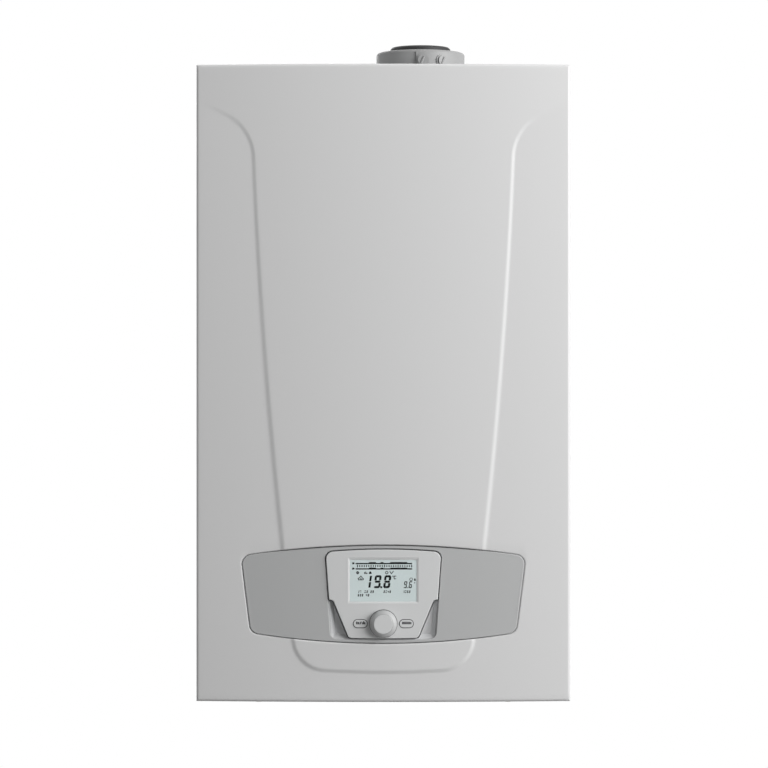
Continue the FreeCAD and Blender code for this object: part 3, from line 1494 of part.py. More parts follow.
def pump_rotor():
    """Wet rotor and wheel of the pump."""
    axis = ("pump_x", "pump_z")
    rear = "-pump_rear - pump_wall - rotor_clear"
    wheel = rod("y", axis, (f"{rear} - wheel_depth", rear), "pump_radius - pump_wall - rotor_clear")
    rotor = rod("y", axis, ("pump_motor_front + 3*pump_motor_wall + seat", rear), "rotor_radius")
    return fuse(wheel, rotor)


def flow_pipe():
    """Pipe from the exchanger's left port to the flow group."""
    return pipe([("exch_x - port_x", "-port_y", "port_bottom"), ("exch_x - port_x", "-port_y", "flow_run_z"),
                 ("flow_pipe_x", "-flow_pipe_y", "flow_run_z - port_x/2"),
                 ("flow_pipe_x", "-flow_pipe_y", "valve_tower_top")],
                "pipe_radius", "pipe_bend", "pipe_wall")


def return_pipe():
    """Pipe from the pump up to the exchanger's right port."""
    port, pump = ("exch_x + port_x", "-port_y"), ("pump_x", "-return_top_y")
    level = "(port_bottom + pump_top)/2"
    return pipe([(*port, "port_bottom"), (*port, f"{level} + return_rise"),
                 (*pump, f"{level} - return_fall"), (*pump, "pump_top + pump_neck")],
                "pipe_radius", "gas_bend", "pipe_wall")


def safety_valve():
    """Spring-loaded relief valve on the return group's front."""
    axis = ("relief_x", "relief_z")
    face = "-group_front - relief_length"
    return fuse(rod("y", axis, (face, "-group_front"), "relief_radius"),
                rod("y", axis, (f"{face} - relief_cap_length", face), "relief_cap"))


def air_vent():
    """Automatic vent on the pump's boss."""
    profile = [("0", "0"), ("vent_radius", "0"), ("vent_radius", "vent_height - vent_shoulder"),
               ("vent_radius/2", "vent_height - vent_tip"), ("vent_radius/2", "vent_height"),
               ("0", "vent_height")]
    return turned(profile, "vent_x", "-vent_y", "vent_boss_top")


def condensate_trap():
    """Siphon cup that stands on the deck, with its outlet through it and a cap on top."""
    spot = ("trap_x", "-trap_y")
    cup = rod("z", spot, ("deck_top", "trap_top"), "trap_radius")
    cap = rod("z", spot, ("trap_top", "trap_hose_z"), "hose_radius + trap_cap_wall")
    outlet = rod("z", spot, ("stub_end", "deck_top"), "trap_outlet")
    bore = rod("z", spot, ("stub_end - overrun", "deck_top"), "trap_outlet - trap_wall")
    return cut(fuse(cup, cap, outlet), bore)


def condensate_hose():
    """Hose from the exchanger's drain to the trap."""
    drain, trap = ("exch_x", "-drain_y"), ("trap_x", "-trap_y")
    level = "(drain_bottom + trap_hose_z)/2"
    return pipe([(*drain, "drain_bottom"), (*drain, f"{level} + hose_offset"),
                 (*trap, f"{level} - hose_offset"), (*trap, "trap_hose_z")],
                "hose_radius", "hose_bend", "2*pipe_wall")


def connection_stubs():
    """Five stubs below the deck: flow, hot water, gas, cold water, return."""
    stubs = []
    for i, radius in STUBS:
        top = "gas_nut_top" if i == 0 else "deck_top"
        spot = (f"{i}*stub_pitch", "-stub_y")
        stubs.append(ring("z", spot, ("stub_end", top), radius, f"{radius}*stub_bore_share"))
    return group(*stubs)


def filling_tap():
    """Lever tap under the deck; a quarter turn opens it."""
    spot = ("tap_x", "-tap_y")
    hub = rod("z", spot, ("tap_low", "tap_high"), "tap_hub")
    lever = block(("tap_x - tap_lever_width/2", "tap_x + tap_lever_width/2"),
                  ("-tap_y - tap_lever", "-tap_y"), ("tap_low", "(tap_low + tap_high)/2"))
    stem = rod("z", spot, ("tap_high", "deck_top - seat"), "tap_stem")
    return fuse(hub, lever, stem)


def cable_gland():
    """Gland for the supply cable."""
    profile = [("gland_bore", "gland_low"), ("gland_body - gland_chamfer", "gland_low"),
               ("gland_body", "gland_low + gland_chamfer_height"),
               ("gland_body", "bottom_recess"), ("gland_neck", "bottom_recess"), ("gland_neck", "deck_top"),
               ("gland_body", "deck_top"), ("gland_body", "gland_high"), ("gland_bore", "gland_high")]
    return turned(profile, "gland_x", "-gland_y", "0")


NODES = [
    rear_frame, wall_bracket, left_side_panel, right_side_panel, top_plate, bottom_plate,
    front_casing, casing_screws,
    control_fascia, dock_tray, control_box, control_box_lid, main_board,
    unit_front_shell, unit_rear_shell, display_window, display_panel, unit_board,
    knob_plunger, control_knob, left_button, right_button,
    flue_collar, test_point_caps, flue_seal, flue_screws, flue_duct,
    exchanger_shell, exchanger_coil, burner_door, burner_tube, door_nuts, ignition_electrodes,
    fan_housing, fan_motor, fan_impeller, air_mixer, mixture_duct,
    gas_valve, gas_inlet_pipe, gas_supply_tube,
    expansion_vessel, vessel_tube,
    return_group, flow_group, plate_exchanger, diverter_actuator, diverter_stem,
    pump_body, pump_motor, pump_rotor, flow_pipe, return_pipe, safety_valve, air_vent,
    condensate_trap, condensate_hose, connection_stubs, filling_tap, cable_gland,
]

pieces = []
for make in NODES:
    piece = make()
    piece.Label = make.__name__
    pieces.append(piece)
doc.recompute()

for thing in doc.Objects:
    if "Invalid" in thing.State or "Error" in thing.State:
        raise RuntimeError(f"{thing.Label} ({thing.Name}) did not compute")
for piece in pieces:
    if piece.Shape.isNull() or not piece.Shape.isValid() or not piece.Shape.Solids:
        raise RuntimeError(f"{piece.Label} has no valid solid")

os.makedirs("parts", exist_ok=True)
for piece in pieces:
    piece.Shape.exportStep(f"parts/{piece.Label}.step")
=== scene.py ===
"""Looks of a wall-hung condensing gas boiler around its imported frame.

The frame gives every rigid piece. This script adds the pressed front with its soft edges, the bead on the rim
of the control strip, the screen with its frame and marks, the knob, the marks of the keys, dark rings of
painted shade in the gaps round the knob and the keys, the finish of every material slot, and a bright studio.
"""

import json
import math

import bpy
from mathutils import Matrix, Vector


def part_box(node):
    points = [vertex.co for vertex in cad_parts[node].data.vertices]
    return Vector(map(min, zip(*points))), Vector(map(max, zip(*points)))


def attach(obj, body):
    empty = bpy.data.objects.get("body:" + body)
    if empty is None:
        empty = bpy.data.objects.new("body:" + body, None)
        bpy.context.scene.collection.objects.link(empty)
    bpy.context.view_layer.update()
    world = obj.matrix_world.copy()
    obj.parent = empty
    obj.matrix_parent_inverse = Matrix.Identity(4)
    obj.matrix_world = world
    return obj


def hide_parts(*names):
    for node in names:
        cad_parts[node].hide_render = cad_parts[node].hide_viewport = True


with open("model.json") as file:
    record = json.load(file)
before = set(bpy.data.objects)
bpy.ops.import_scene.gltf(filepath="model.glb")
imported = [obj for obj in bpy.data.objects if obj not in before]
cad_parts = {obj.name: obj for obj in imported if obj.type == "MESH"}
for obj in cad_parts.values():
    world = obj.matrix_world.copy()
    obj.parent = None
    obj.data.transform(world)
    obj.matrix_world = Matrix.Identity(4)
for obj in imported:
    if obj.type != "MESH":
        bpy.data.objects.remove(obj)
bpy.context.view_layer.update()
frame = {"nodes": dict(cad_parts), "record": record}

MM = 0.001                      # shapes below are written in millimetres
TINY = 1e-6


# Finishes of the material slots

NOISE_LOW, NOISE_HIGH = 0.3, 0.7        # most of a noise field lies between these
MOTTLE_DETAIL, GRAIN_DETAIL = 4, 2


def tone(red, green=None, blue=None):
    """A display colour of 0 to 255 a channel, or a grey, as the linear colour that a shader takes."""
    levels = (red, red if green is None else green, red if blue is None else blue)
    parts = [v / 255 for v in levels]
    return tuple(p / 12.92 if p <= 0.04045 else ((p + 0.055) / 1.055) ** 2.4 for p in parts) + (1.0,)


def add(nodes, kind, operation=None, **inputs):
    """A new shader node of a kind, with its operation and its plain inputs set."""
    made = nodes.new(kind)
    if operation:
        made.operation = operation
    for socket, value in inputs.items():
        made.inputs[socket.replace("_", " ")].default_value = value
    return made


def finish(name, colour, rough, metal=0.0, grain=None, mottle=None, spangle=False, stretch=(1, 1, 1),
           **sockets):
    """A finish for one slot. grain is (waves per metre, depth in mm) of a fine relief; mottle is (waves per
    metre, share) by which the colour and gloss wander, in crystal cells with spangle; stretch drags both
    along an axis."""
    made = bpy.data.materials.new(name)
    made.use_nodes = True
    nodes, links = made.node_tree.nodes, made.node_tree.links
    shader = nodes["Principled BSDF"]
    shader.inputs["Base Color"].default_value = colour
    shader.inputs["Roughness"].default_value = rough
    shader.inputs["Metallic"].default_value = metal
    for socket, value in sockets.items():
        shader.inputs[socket.replace("_", " ")].default_value = value

    place = add(nodes, "ShaderNodeTexCoord")
    drag = add(nodes, "ShaderNodeMapping", Scale=stretch)
    links.new(place.outputs["Object"], drag.inputs["Vector"])

    def noise(scale, detail):
        field = add(nodes, "ShaderNodeTexNoise", Scale=scale, Detail=detail)
        links.new(drag.outputs["Vector"], field.inputs["Vector"])
        return field.outputs["Fac"]

    def crystals(scale):
        cells = add(nodes, "ShaderNodeTexVoronoi", Scale=scale)
        links.new(drag.outputs["Vector"], cells.inputs["Vector"])
        channel = add(nodes, "ShaderNodeSeparateColor")
        links.new(cells.outputs["Color"], channel.inputs["Color"])
        return channel.outputs["Red"]

    if mottle:
        waves, share = mottle
        spread = add(nodes, "ShaderNodeMapRange", To_Min=1 - share, To_Max=1 + share,
                     From_Min=0.0 if spangle else NOISE_LOW, From_Max=1.0 if spangle else NOISE_HIGH)
        links.new(crystals(waves) if spangle else noise(waves, MOTTLE_DETAIL), spread.inputs["Value"])
        shade = add(nodes, "ShaderNodeVectorMath", "SCALE")
        shade.inputs[0].default_value = colour[:3]
        links.new(spread.outputs["Result"], shade.inputs["Scale"])
        links.new(shade.outputs["Vector"], shader.inputs["Base Color"])
        gloss = add(nodes, "ShaderNodeMath", "MULTIPLY")
        gloss.inputs[1].default_value = rough
        links.new(spread.outputs["Result"], gloss.inputs[0])
        links.new(gloss.outputs["Value"], shader.inputs["Roughness"])
    if grain:
        waves, depth = grain
        relief = add(nodes, "ShaderNodeBump", Strength=1.0, Distance=depth * MM)
        links.new(noise(waves, GRAIN_DETAIL), relief.inputs["Height"])
        links.new(relief.outputs["Normal"], shader.inputs["Normal"])
    return made


LOOKS = {
    "white_coat": dict(colour=tone(225), rough=0.36, grain=(420, 0.012)),
    "galvanised": dict(colour=tone(186, 189, 191), rough=0.7, metal=0.3, mottle=(85, 0.13), spangle=True,
                       grain=(300, 0.01)),
    "zinc": dict(colour=tone(196, 194, 186), rough=0.3, metal=1.0, mottle=(300, 0.06)),
    "silver_plastic": dict(colour=tone(187, 188, 188), rough=0.46, grain=(1600, 0.01)),
    "light_grey_plastic": dict(colour=tone(220, 221, 221), rough=0.48, grain=(1600, 0.01)),
    "dark_tray": dict(colour=tone(200, 201, 202), rough=0.5, grain=(1600, 0.01)),
    "box_grey": dict(colour=tone(92, 94, 97), rough=0.6, grain=(900, 0.03)),
    "clear_cover": dict(colour=tone(150, 156, 156), rough=0.08, mottle=(20, 0.02), Alpha=0.05),
    # The display's faint glow is painted light that brightens its face
    "display_face": dict(colour=tone(224, 236, 236), rough=0.5, mottle=(30, 0.015),
                         Emission_Color=tone(224, 238, 238), Emission_Strength=0.08),
    "circuit_board": dict(colour=tone(24, 92, 52), rough=0.35, mottle=(160, 0.12)),
    "collar_grey": dict(colour=tone(154), rough=0.5, grain=(900, 0.015)),
    "black_rubber": dict(colour=tone(36, 36, 37), rough=0.62, grain=(700, 0.02)),
    "grey_hose": dict(colour=tone(120, 122, 124), rough=0.6, grain=(500, 0.02)),
    "flue_plastic": dict(colour=tone(226, 225, 219), rough=0.45, mottle=(25, 0.03)),
    "composite_drum": dict(colour=tone(58, 58, 60), rough=0.55, grain=(600, 0.03)),
    "stainless": dict(colour=tone(200, 200, 198), rough=0.28, metal=1.0, mottle=(40, 0.08),
                      stretch=(1, 1, 12)),
    "cast_alloy": dict(colour=tone(176, 178, 180), rough=0.6, metal=0.7, grain=(700, 0.04),
                       mottle=(60, 0.06)),
    "ceramic": dict(colour=tone(238, 234, 222), rough=0.22, mottle=(80, 0.03)),
    "dark_can": dict(colour=tone(52, 52, 55), rough=0.4, grain=(600, 0.015)),
    "rotor_steel": dict(colour=tone(170), rough=0.3, metal=1.0, mottle=(120, 0.06)),
    "copper": dict(colour=tone(206, 132, 96), rough=0.28, metal=1.0, mottle=(30, 0.12)),
    "brass": dict(colour=tone(206, 178, 112), rough=0.27, metal=1.0, mottle=(70, 0.07)),
    "black_composite": dict(colour=tone(40, 40, 42), rough=0.5, grain=(700, 0.02)),
    "actuator_white": dict(colour=tone(222, 222, 218), rough=0.45, grain=(1000, 0.01)),
    "trap_white": dict(colour=tone(226, 227, 225), rough=0.4, mottle=(30, 0.02)),
    "red_coat": dict(colour=tone(168, 32, 28), rough=0.3, grain=(350, 0.012)),
    "tap_blue": dict(colour=tone(34, 78, 150), rough=0.35, grain=(800, 0.01)),
}
FINISHES = {name: finish(name, **look) for name, look in LOOKS.items()}
INK = finish("display_ink", tone(10, 13, 14), 0.6, mottle=(60, 0.05), Specular_IOR_Level=0.0)
KEY_INK = finish("key_ink", tone(60, 61, 63), 0.55, mottle=(60, 0.05))


def dress_frame():
    """Every CAD node gets the finish of its slot in the record."""
    for part in frame["record"]["subparts"]:
        node = frame["nodes"][part["node"]]
        node.data.materials.clear()
        node.data.materials.append(FINISHES[part["material_slot"]])


# Mesh helpers

# Bends up to these angles in degrees are shaded round: on the casing and the bead, and on turned pieces
SHEET_ANGLE, TURNED_ANGLE = 40, 30


def in_mm(corners):
    """The low and the high corner of a box of the frame, in millimetres."""
    return [[c / MM for c in corner] for corner in corners]


def middle(low, high):
    """Middle of a box, as x and z."""
    return (low[0] + high[0]) / 2, (low[2] + high[2]) / 2


def spaced(count, start, end):
    """Places at equal steps from a start to an end, both among them."""
    return [start + (end - start) * i / count for i in range(count + 1)]


def runs(spans):
    """Places along joined runs, each given as (count, start, end)."""
    places = [spans[0][1]]
    for span in spans:
        places += spaced(*span)[1:]
    return places


def soft(share):
    """Rises gently from 0 to 1 as share does, and is level before and after."""
    share = min(max(share, 0), 1)
    return share ** 2 * (3 - 2 * share)


def piece(name, points, faces, body, slot, look=None, smooth=None):
    """A mesh given in millimetres that rides a body, in its slot's finish or another look. smooth is the
    angle in degrees up to which it is shaded round."""
    mesh = bpy.data.meshes.new(name)
    mesh.from_pydata([tuple(c * MM for c in p) for p in points], [], faces)
    mesh.materials.append(look or FINISHES[slot])
    if smooth:
        mesh.shade_smooth()
        mesh.set_sharp_from_angle(angle=math.radians(smooth))
        uses = [0] * len(mesh.edges)
        for corner in mesh.loops:
            uses[corner.edge_index] += 1
        for side in mesh.edges:
            side.use_edge_sharp = side.use_edge_sharp or uses[side.index] == 1
    made = bpy.data.objects.new(name, mesh)
    bpy.context.scene.collection.objects.link(made)
    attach(made, body)
    return made


def plates(outlines, front, rear):
    """Points and faces of flat plates, each given by its (x, z) outline anticlockwise from the front."""
    points, faces = [], []
    for outline in outlines:
        base, count = len(points), len(outline)
        points += [(x, front, z) for x, z in outline] + [(x, rear, z) for x, z in outline]
        ahead, behind = list(range(base, base + count)), list(range(base + count, base + 2 * count))
        faces += [ahead, behind[::-1]]
        for i in range(count):
            after = (i + 1) % count
            faces.append((ahead[i], behind[i], behind[after], ahead[after]))
    return points, faces


def hoops(rings, flipped=False):
    """Points and faces of a closed hoop: rings of points joined in turn, and the last to the first. flipped
    turns the faces over, for rings that run the other way round the section."""
    points, count = [p for ring in rings for p in ring], len(rings[0])
    faces = []
    for k in range(len(rings)):
        here, there = k * count, (k + 1) % len(rings) * count
        for i in range(count):
            after = (i + 1) % count
            if flipped:
                faces.append((here + i, there + i, there + after, here + after))
            else:
                faces.append((here + i, here + after, there + after, there + i))
    return points, faces


def turned(profile, x, z, steps=96):
    """Points and faces of a body turned about a front-to-back axis at x, z. Its (radius, y) profile runs from
    the front to the back and starts and ends on the axis."""
    turns = [2 * math.pi * i / steps for i in range(steps)]
    points, rings = [], []
    for radius, y in profile:
        start = len(points)
        if radius == 0:
            points.append((x, y, z))
            rings.append([start] * steps)
        else:
            points += [(x + radius * math.cos(a), y, z + radius * math.sin(a)) for a in turns]
            rings.append(list(range(start, start + steps)))
    faces = []
    for ahead, behind in zip(rings, rings[1:]):
        for i in range(steps):
            after = (i + 1) % steps
            corners = (ahead[i], behind[i], behind[after], ahead[after])
            faces.append(list(dict.fromkeys(corners)))
    return points, faces


# Front casing

CASE_LOW, CASE_HIGH = in_mm(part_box("front_casing"))
HALF, HEIGHT, CROWN, RIM = CASE_HIGH[0], CASE_HIGH[2], CASE_LOW[1], CASE_HIGH[1]

EDGE = 3.5                      # round of the pressed edges
GAUGE = 1.0                     # of the sheet
CROWN_HALF, CROWN_DROP = HALF - 15, 12
STEP_DEPTH, STEP_END = 1.95, 219        # step from shield to cheeks on the axis; it runs out at the sides
STEP_WIDTH = 5.8                        # the outline below runs along the middle of the step
SHOULDER_X, SHOULDER_Z, SHOULDER_R = 215.8, HEIGHT - 114, 59.7
SHOULDER_TURN = math.radians(63)
RUN_SLOPE = 0.5                 # line from the shoulder out to the side
FLANK_TOP, FLANK_FOOT, FLANK_R = (156.1, HEIGHT - 114), (108.5, 77.5), 6800
FOOT_X, FOOT_Z, FOOT_R = 69, 77.5, 39.5
FOOT_SAG = 1.9                  # the lower edge hangs in a slight curve

ROLL, LIP = 1.8, 1.8                    # round of the opening's edge and the lip behind it
ROLL_STEP = 15                          # degrees from one line of the round to the next
STRIP_GAP, STRIP_SETBACK = 1.0, 0.6     # control strip within the opening
OPENING_TOP, OPENING_FOOT = (171.5 + ROLL, 175 + ROLL), (159.5 + ROLL, 83 - ROLL)
OPENING_TOP_R, OPENING_FOOT_R, OPENING_ROUND = 1096 + ROLL, 1024 + ROLL, 12 + ROLL

# Lines of the casing's mesh, in runs of (count, start, end): across in mm, and as shares of the height below
# and above the opening
COLUMN_RUNS = ((16, 0.0, 64), (16, 64, 100), (54, 100, 176), (18, 176, HALF - EDGE))
ROWS_BELOW = ((8, 0.0, 0.32), (42, 0.32, 1.0))
ROWS_ABOVE = ((36, 0.0, 0.8), (52, 0.8, 0.935), (8, 0.935, 1.0))
END_STEP, SLANT_COUNT = 9, 24           # degrees round the opening's ends, and steps from its lower corners
END_GAP, PLAIN_GAP = 0.3, 0.5           # steps and plain columns nearer than these to others are left out

BEAD = ((-3.2, 0.02), (-0.6, -0.14), (-0.25, -0.13), (0.1, -0.04), (0.4, 0.18), (0.6, 0.5), (0.7, 0.9),
        (0.7, 2.0), (-0.3, 2.0))        # section of the strip's bead, as (outwards, back)
BEAD_START, BEAD_FULL, BEAD_LEAST = 90, 160, 0.1        # it grows between these places, from this share


def drop(x):
    """How far the shallow crown falls back at x."""
    radius = (CROWN_HALF ** 2 + CROWN_DROP ** 2) / (2 * CROWN_DROP)
    return radius - math.sqrt(radius ** 2 - x ** 2)


def outside_shield(x, z):
    """Distance of a point outside the shield's outline, negative inside."""
    x = abs(x)
    if z >= SHOULDER_Z:
        turn = math.pi - math.atan2(z - SHOULDER_Z, x - SHOULDER_X)
        if turn <= SHOULDER_TURN:
            return SHOULDER_R - math.hypot(x - SHOULDER_X, z - SHOULDER_Z)
        start_x = SHOULDER_X - SHOULDER_R * math.cos(SHOULDER_TURN)
        start_z = SHOULDER_Z + SHOULDER_R * math.sin(SHOULDER_TURN)
        return (start_z + (x - start_x) * RUN_SLOPE - z) / math.hypot(1, RUN_SLOPE)
    if z >= FOOT_Z:
        run_x, run_z = FLANK_FOOT[0] - FLANK_TOP[0], FLANK_FOOT[1] - FLANK_TOP[1]
        length = math.hypot(run_x, run_z)
        back = math.sqrt(FLANK_R ** 2 - length ** 2 / 4)
        centre_x = (FLANK_TOP[0] + FLANK_FOOT[0]) / 2 + back * run_z / length
        centre_z = (FLANK_TOP[1] + FLANK_FOOT[1]) / 2 - back * run_x / length
        return math.hypot(x - centre_x, z - centre_z) - FLANK_R
    if x > FOOT_X:
        return math.hypot(x - FOOT_X, z - FOOT_Z) - FOOT_R
    return FOOT_Z - FOOT_R - FOOT_SAG * (1 - (x / FOOT_X) ** 2) - z


def face_y(x, z):
    """The pressed front: a raised shield and, a soft step behind it, the flatter cheeks."""
    step = STEP_DEPTH * max(1 - (x / STEP_END) ** 2, 0)
    return CROWN + drop(x) + step * soft(outside_shield(x, z) / STEP_WIDTH + 0.5)


def corner_circle(corner, radius, upward):
    """Centre of the round at a corner of the opening, between its arc and its slanting side, and the height
    of the arc's own centre."""
    side = (OPENING_TOP[0] - OPENING_FOOT[0], OPENING_TOP[1] - OPENING_FOOT[1])
    length = math.hypot(*side)
    along = (side[0] / length, side[1] / length)
    start = (corner[0] - along[1] * OPENING_ROUND, corner[1] + along[0] * OPENING_ROUND)
    sign = 1 if upward else -1
    arc_z = corner[1] - sign * math.sqrt(radius ** 2 - corner[0] ** 2)
    gap = (start[0], start[1] - arc_z)
    lean = gap[0] * along[0] + gap[1] * along[1]
    rest = gap[0] ** 2 + gap[1] ** 2 - (radius - OPENING_ROUND) ** 2
    step = -lean + sign * math.sqrt(lean ** 2 - rest)
    return (start[0] + step * along[0], start[1] + step * along[1]), arc_z


(TOP_X, TOP_Z), TOP_ARC_Z = corner_circle(OPENING_TOP, OPENING_TOP_R, True)
(LOW_X, LOW_Z), LOW_ARC_Z = corner_circle(OPENING_FOOT, OPENING_FOOT_R, False)
OPENING_END = TOP_X + OPENING_ROUND


def opening(x):
    """Lower and upper edge of the casing's opening at x, both at the corner's level beyond its end."""
    x = abs(x)
    if x >= OPENING_END:
        return TOP_Z, TOP_Z
    if x < TOP_X * OPENING_TOP_R / (OPENING_TOP_R - OPENING_ROUND):
        high = TOP_ARC_Z + math.sqrt(OPENING_TOP_R ** 2 - x ** 2)
    else:
        high = TOP_Z + math.sqrt(max(OPENING_ROUND ** 2 - (x - TOP_X) ** 2, 0))
    slant = (OPENING_TOP[0] - OPENING_FOOT[0]) / (OPENING_TOP[1] - OPENING_FOOT[1])
    out = OPENING_ROUND / math.hypot(1, slant)
    if x < LOW_X * OPENING_FOOT_R / (OPENING_FOOT_R - OPENING_ROUND):
        low = LOW_ARC_Z - math.sqrt(OPENING_FOOT_R ** 2 - x ** 2)
    elif x < LOW_X + out:
        low = LOW_Z - math.sqrt(OPENING_ROUND ** 2 - (x - LOW_X) ** 2)
    elif x < TOP_X + out:
        low = OPENING_FOOT[1] + (x - OPENING_FOOT[0]) / slant
    else:
        low = TOP_Z - math.sqrt(max(OPENING_ROUND ** 2 - (x - TOP_X) ** 2, 0))
    return low, high


def away_from(others, places, gap):
    """Those places that lie more than a gap from all the others."""
    return [x for x in places if min(abs(x - other) for other in others) > gap]


def casing_columns():
    """Places across the casing, close together along the step's flanks and where the opening's ends turn."""
    turns = [math.radians(a) for a in range(0, 91, END_STEP)]
    close = [OPENING_END - OPENING_ROUND * (1 - math.cos(a)) for a in turns]
    close += away_from(close, spaced(SLANT_COUNT, LOW_X, OPENING_END), END_GAP)
    right = sorted(close + away_from(close, runs(COLUMN_RUNS)[1:], PLAIN_GAP))
    return [-x for x in reversed(right)] + [0.0] + right


def left_ways(ring):
    """For each point of a ring, the (x, z) direction to the left of its run."""
    ways = []
    for i in range(len(ring)):
        before, after = ring[i - 1], ring[(i + 1) % len(ring)]
        run = math.hypot(after[0] - before[0], after[2] - before[2])
        ways.append(((before[2] - after[2]) / run, (after[0] - before[0]) / run))
    return ways


def roll(points, faces, ring, ways, radius, ends):
    """Bends the sheet back round a ring of its points, each its own way, and on to the given depths."""
    base = [points[i] for i in ring]
    turns = [math.radians(a) for a in range(ROLL_STEP, 91, ROLL_STEP)]
    bends = [(radius * math.sin(a), radius * (1 - math.cos(a))) for a in turns]
    for out, back in bends + [(radius, None)]:
        fresh = list(range(len(points), len(points) + len(ring)))
        for (x, y, z), (dx, dz), end in zip(base, ways, ends):
            points.append((x + dx * out, end if back is None else y + back, z + dz * out))
        for i in range(len(ring)):
            after = (i + 1) % len(ring)
            faces.append((ring[i], fresh[i], fresh[after], ring[after]))
        ring = fresh


def casing_face(xs, below, above):
    """Points and faces of the pressed face, and its columns of points. Beyond the opening's ends, the rows
    below and above it meet in one point, which the column then holds twice."""
    points, faces, columns = [], [], []
    for x in xs:
        low, high = opening(x)
        joined = high - low < TINY
        rows = [EDGE + (low - EDGE) * t for t in below]
        rows += [high + (HEIGHT - EDGE - high) * t for t in above[1 if joined else 0:]]
        column = list(range(len(points), len(points) + len(rows)))
        if joined:
            column.insert(len(below), column[len(below) - 1])
        points += [(x, face_y(x, z), z) for z in rows]
        columns.append(column)
    for left, right in zip(columns, columns[1:]):
        for j in range(len(left) - 1):
            crosses_opening = j == len(below) - 1
            if not crosses_opening:
                faces.append((left[j], right[j], right[j + 1], left[j + 1]))
    return points, faces, columns


def casing_rim(columns):
    """The outer ring of the face's points, anticlockwise from the front, and the way outwards at each."""
    first, last, between = columns[0], columns[-1], columns[1:-1]
    edge = [(c[0], (0, -1)) for c in between] + [(i, (1, 0)) for i in last]
    edge += [(c[-1], (0, 1)) for c in reversed(between)] + [(i, (-1, 0)) for i in reversed(first)]
    edge = [step for i, step in enumerate(edge) if step[0] != edge[i - 1][0]]
    corners = {first[0]: (-1, -1), last[0]: (1, -1), last[-1]: (1, 1), first[-1]: (-1, 1)}
    return [i for i, _ in edge], [corners.get(i, way) for i, way in edge]


def front_casing():
    """The front as one pressed sheet: embossed face, opening for the control strip, rounded and returned
    edges."""
    xs, below = casing_columns(), runs(ROWS_BELOW)
    points, faces, columns = casing_face(xs, below, runs(ROWS_ABOVE))
    rim, outward = casing_rim(columns)
    roll(points, faces, rim, outward, EDGE, [RIM] * len(rim))

    row = len(below) - 1
    within = [c for c, x in zip(columns, xs) if abs(x) <= OPENING_END + TINY]
    hole = [c[row] for c in within] + [c[row + 1] for c in reversed(within[1:-1])]
    inward = left_ways([points[i] for i in hole])
    hole, inward = hole[::-1], inward[::-1]
    roll(points, faces, hole, inward, ROLL, [points[i][1] + ROLL + LIP for i in hole])

    casing = piece("casing_front", points, faces, "front_cover", "white_coat", smooth=SHEET_ANGLE)
    sheet = casing.modifiers.new("gauge", "SOLIDIFY")
    sheet.thickness = GAUGE * MM
    sheet.offset = -1
    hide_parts("front_casing")


def strip_bead():
    """Rounded edge of the control strip in the gap to the casing, full at the strip's ends and faint at its
    middle."""
    xs = [x for x in casing_columns() if abs(x) <= OPENING_END + TINY]
    edge = [(x, 0, opening(x)[0]) for x in xs] + [(x, 0, opening(x)[1]) for x in reversed(xs[1:-1])]
    ways = left_ways(edge)
    rings = []
    for out, back in BEAD:
        ring = []
        for (x, _, z), (dx, dz) in zip(edge, ways):
            grown = soft((abs(x) - BEAD_START) / (BEAD_FULL - BEAD_START))
            share = BEAD_LEAST + (1 - BEAD_LEAST) * grown
            step = ROLL + STRIP_GAP - out * share
            depth = back * share if back < 0 else back
            y = CROWN + STRIP_SETBACK + drop(x + dx * step) + depth
            ring.append((x + dx * step, y, z + dz * step))
        rings.append(ring)
    points, faces = hoops(rings, flipped=True)
    piece("strip_bead", points, faces, "cabinet", "silver_plastic", smooth=SHEET_ANGLE)


# Signs on the display

SEGMENTS = {"0": "abcdef", "1": "bc", "2": "abdeg", "3": "abcdg", "4": "bcfg", "5": "acdfg", "6": "acdefg",
            "7": "abc", "8": "abcdefg", "9": "abcdfg"}
UPRIGHT_SEGMENTS = {"f": (0, 1), "b": (1, 1), "e": (0, 0), "c": (1, 0)}         # to the right, and above
SLANT = 0.14                    # lean of the figures
SEGMENT_GAP = 0.1               # between segments, as a share of their thickness
EAVES = 0.45                    # height of a house's walls, as a share of its size


def bar(x0, z0, x1, z1):
    """Outline of an upright rectangle between two corners."""
    return [(x0, z0), (x1, z0), (x1, z1), (x0, z1)]


def stroke(path, width):
    """Outlines of the straight strokes along a path, each run on to cover its corners."""
    outlines = []
    for (x0, z0), (x1, z1) in zip(path, path[1:]):
        length = math.hypot(x1 - x0, z1 - z0)
        ux, uz = (x1 - x0) / length * width / 2, (z1 - z0) / length * width / 2
        outlines.append([(x0 - ux + uz, z0 - uz - ux), (x1 + ux + uz, z1 + uz - ux),
                         (x1 + ux - uz, z1 + uz + ux), (x0 - ux - uz, z0 - uz + ux)])
    return outlines


def loop(x, z, radius, width, count=10):
    """A ring of strokes round x, z."""
    turn = [2 * math.pi * i / count for i in range(count + 1)]
    return stroke([(x + radius * math.cos(a), z + radius * math.sin(a)) for a in turn], width)


def house(x, z, size):
    """A small house filled in."""
    eaves = z + size * EAVES
    return [(x, z), (x + size, z), (x + size, eaves), (x + size / 2, z + size), (x, eaves)]


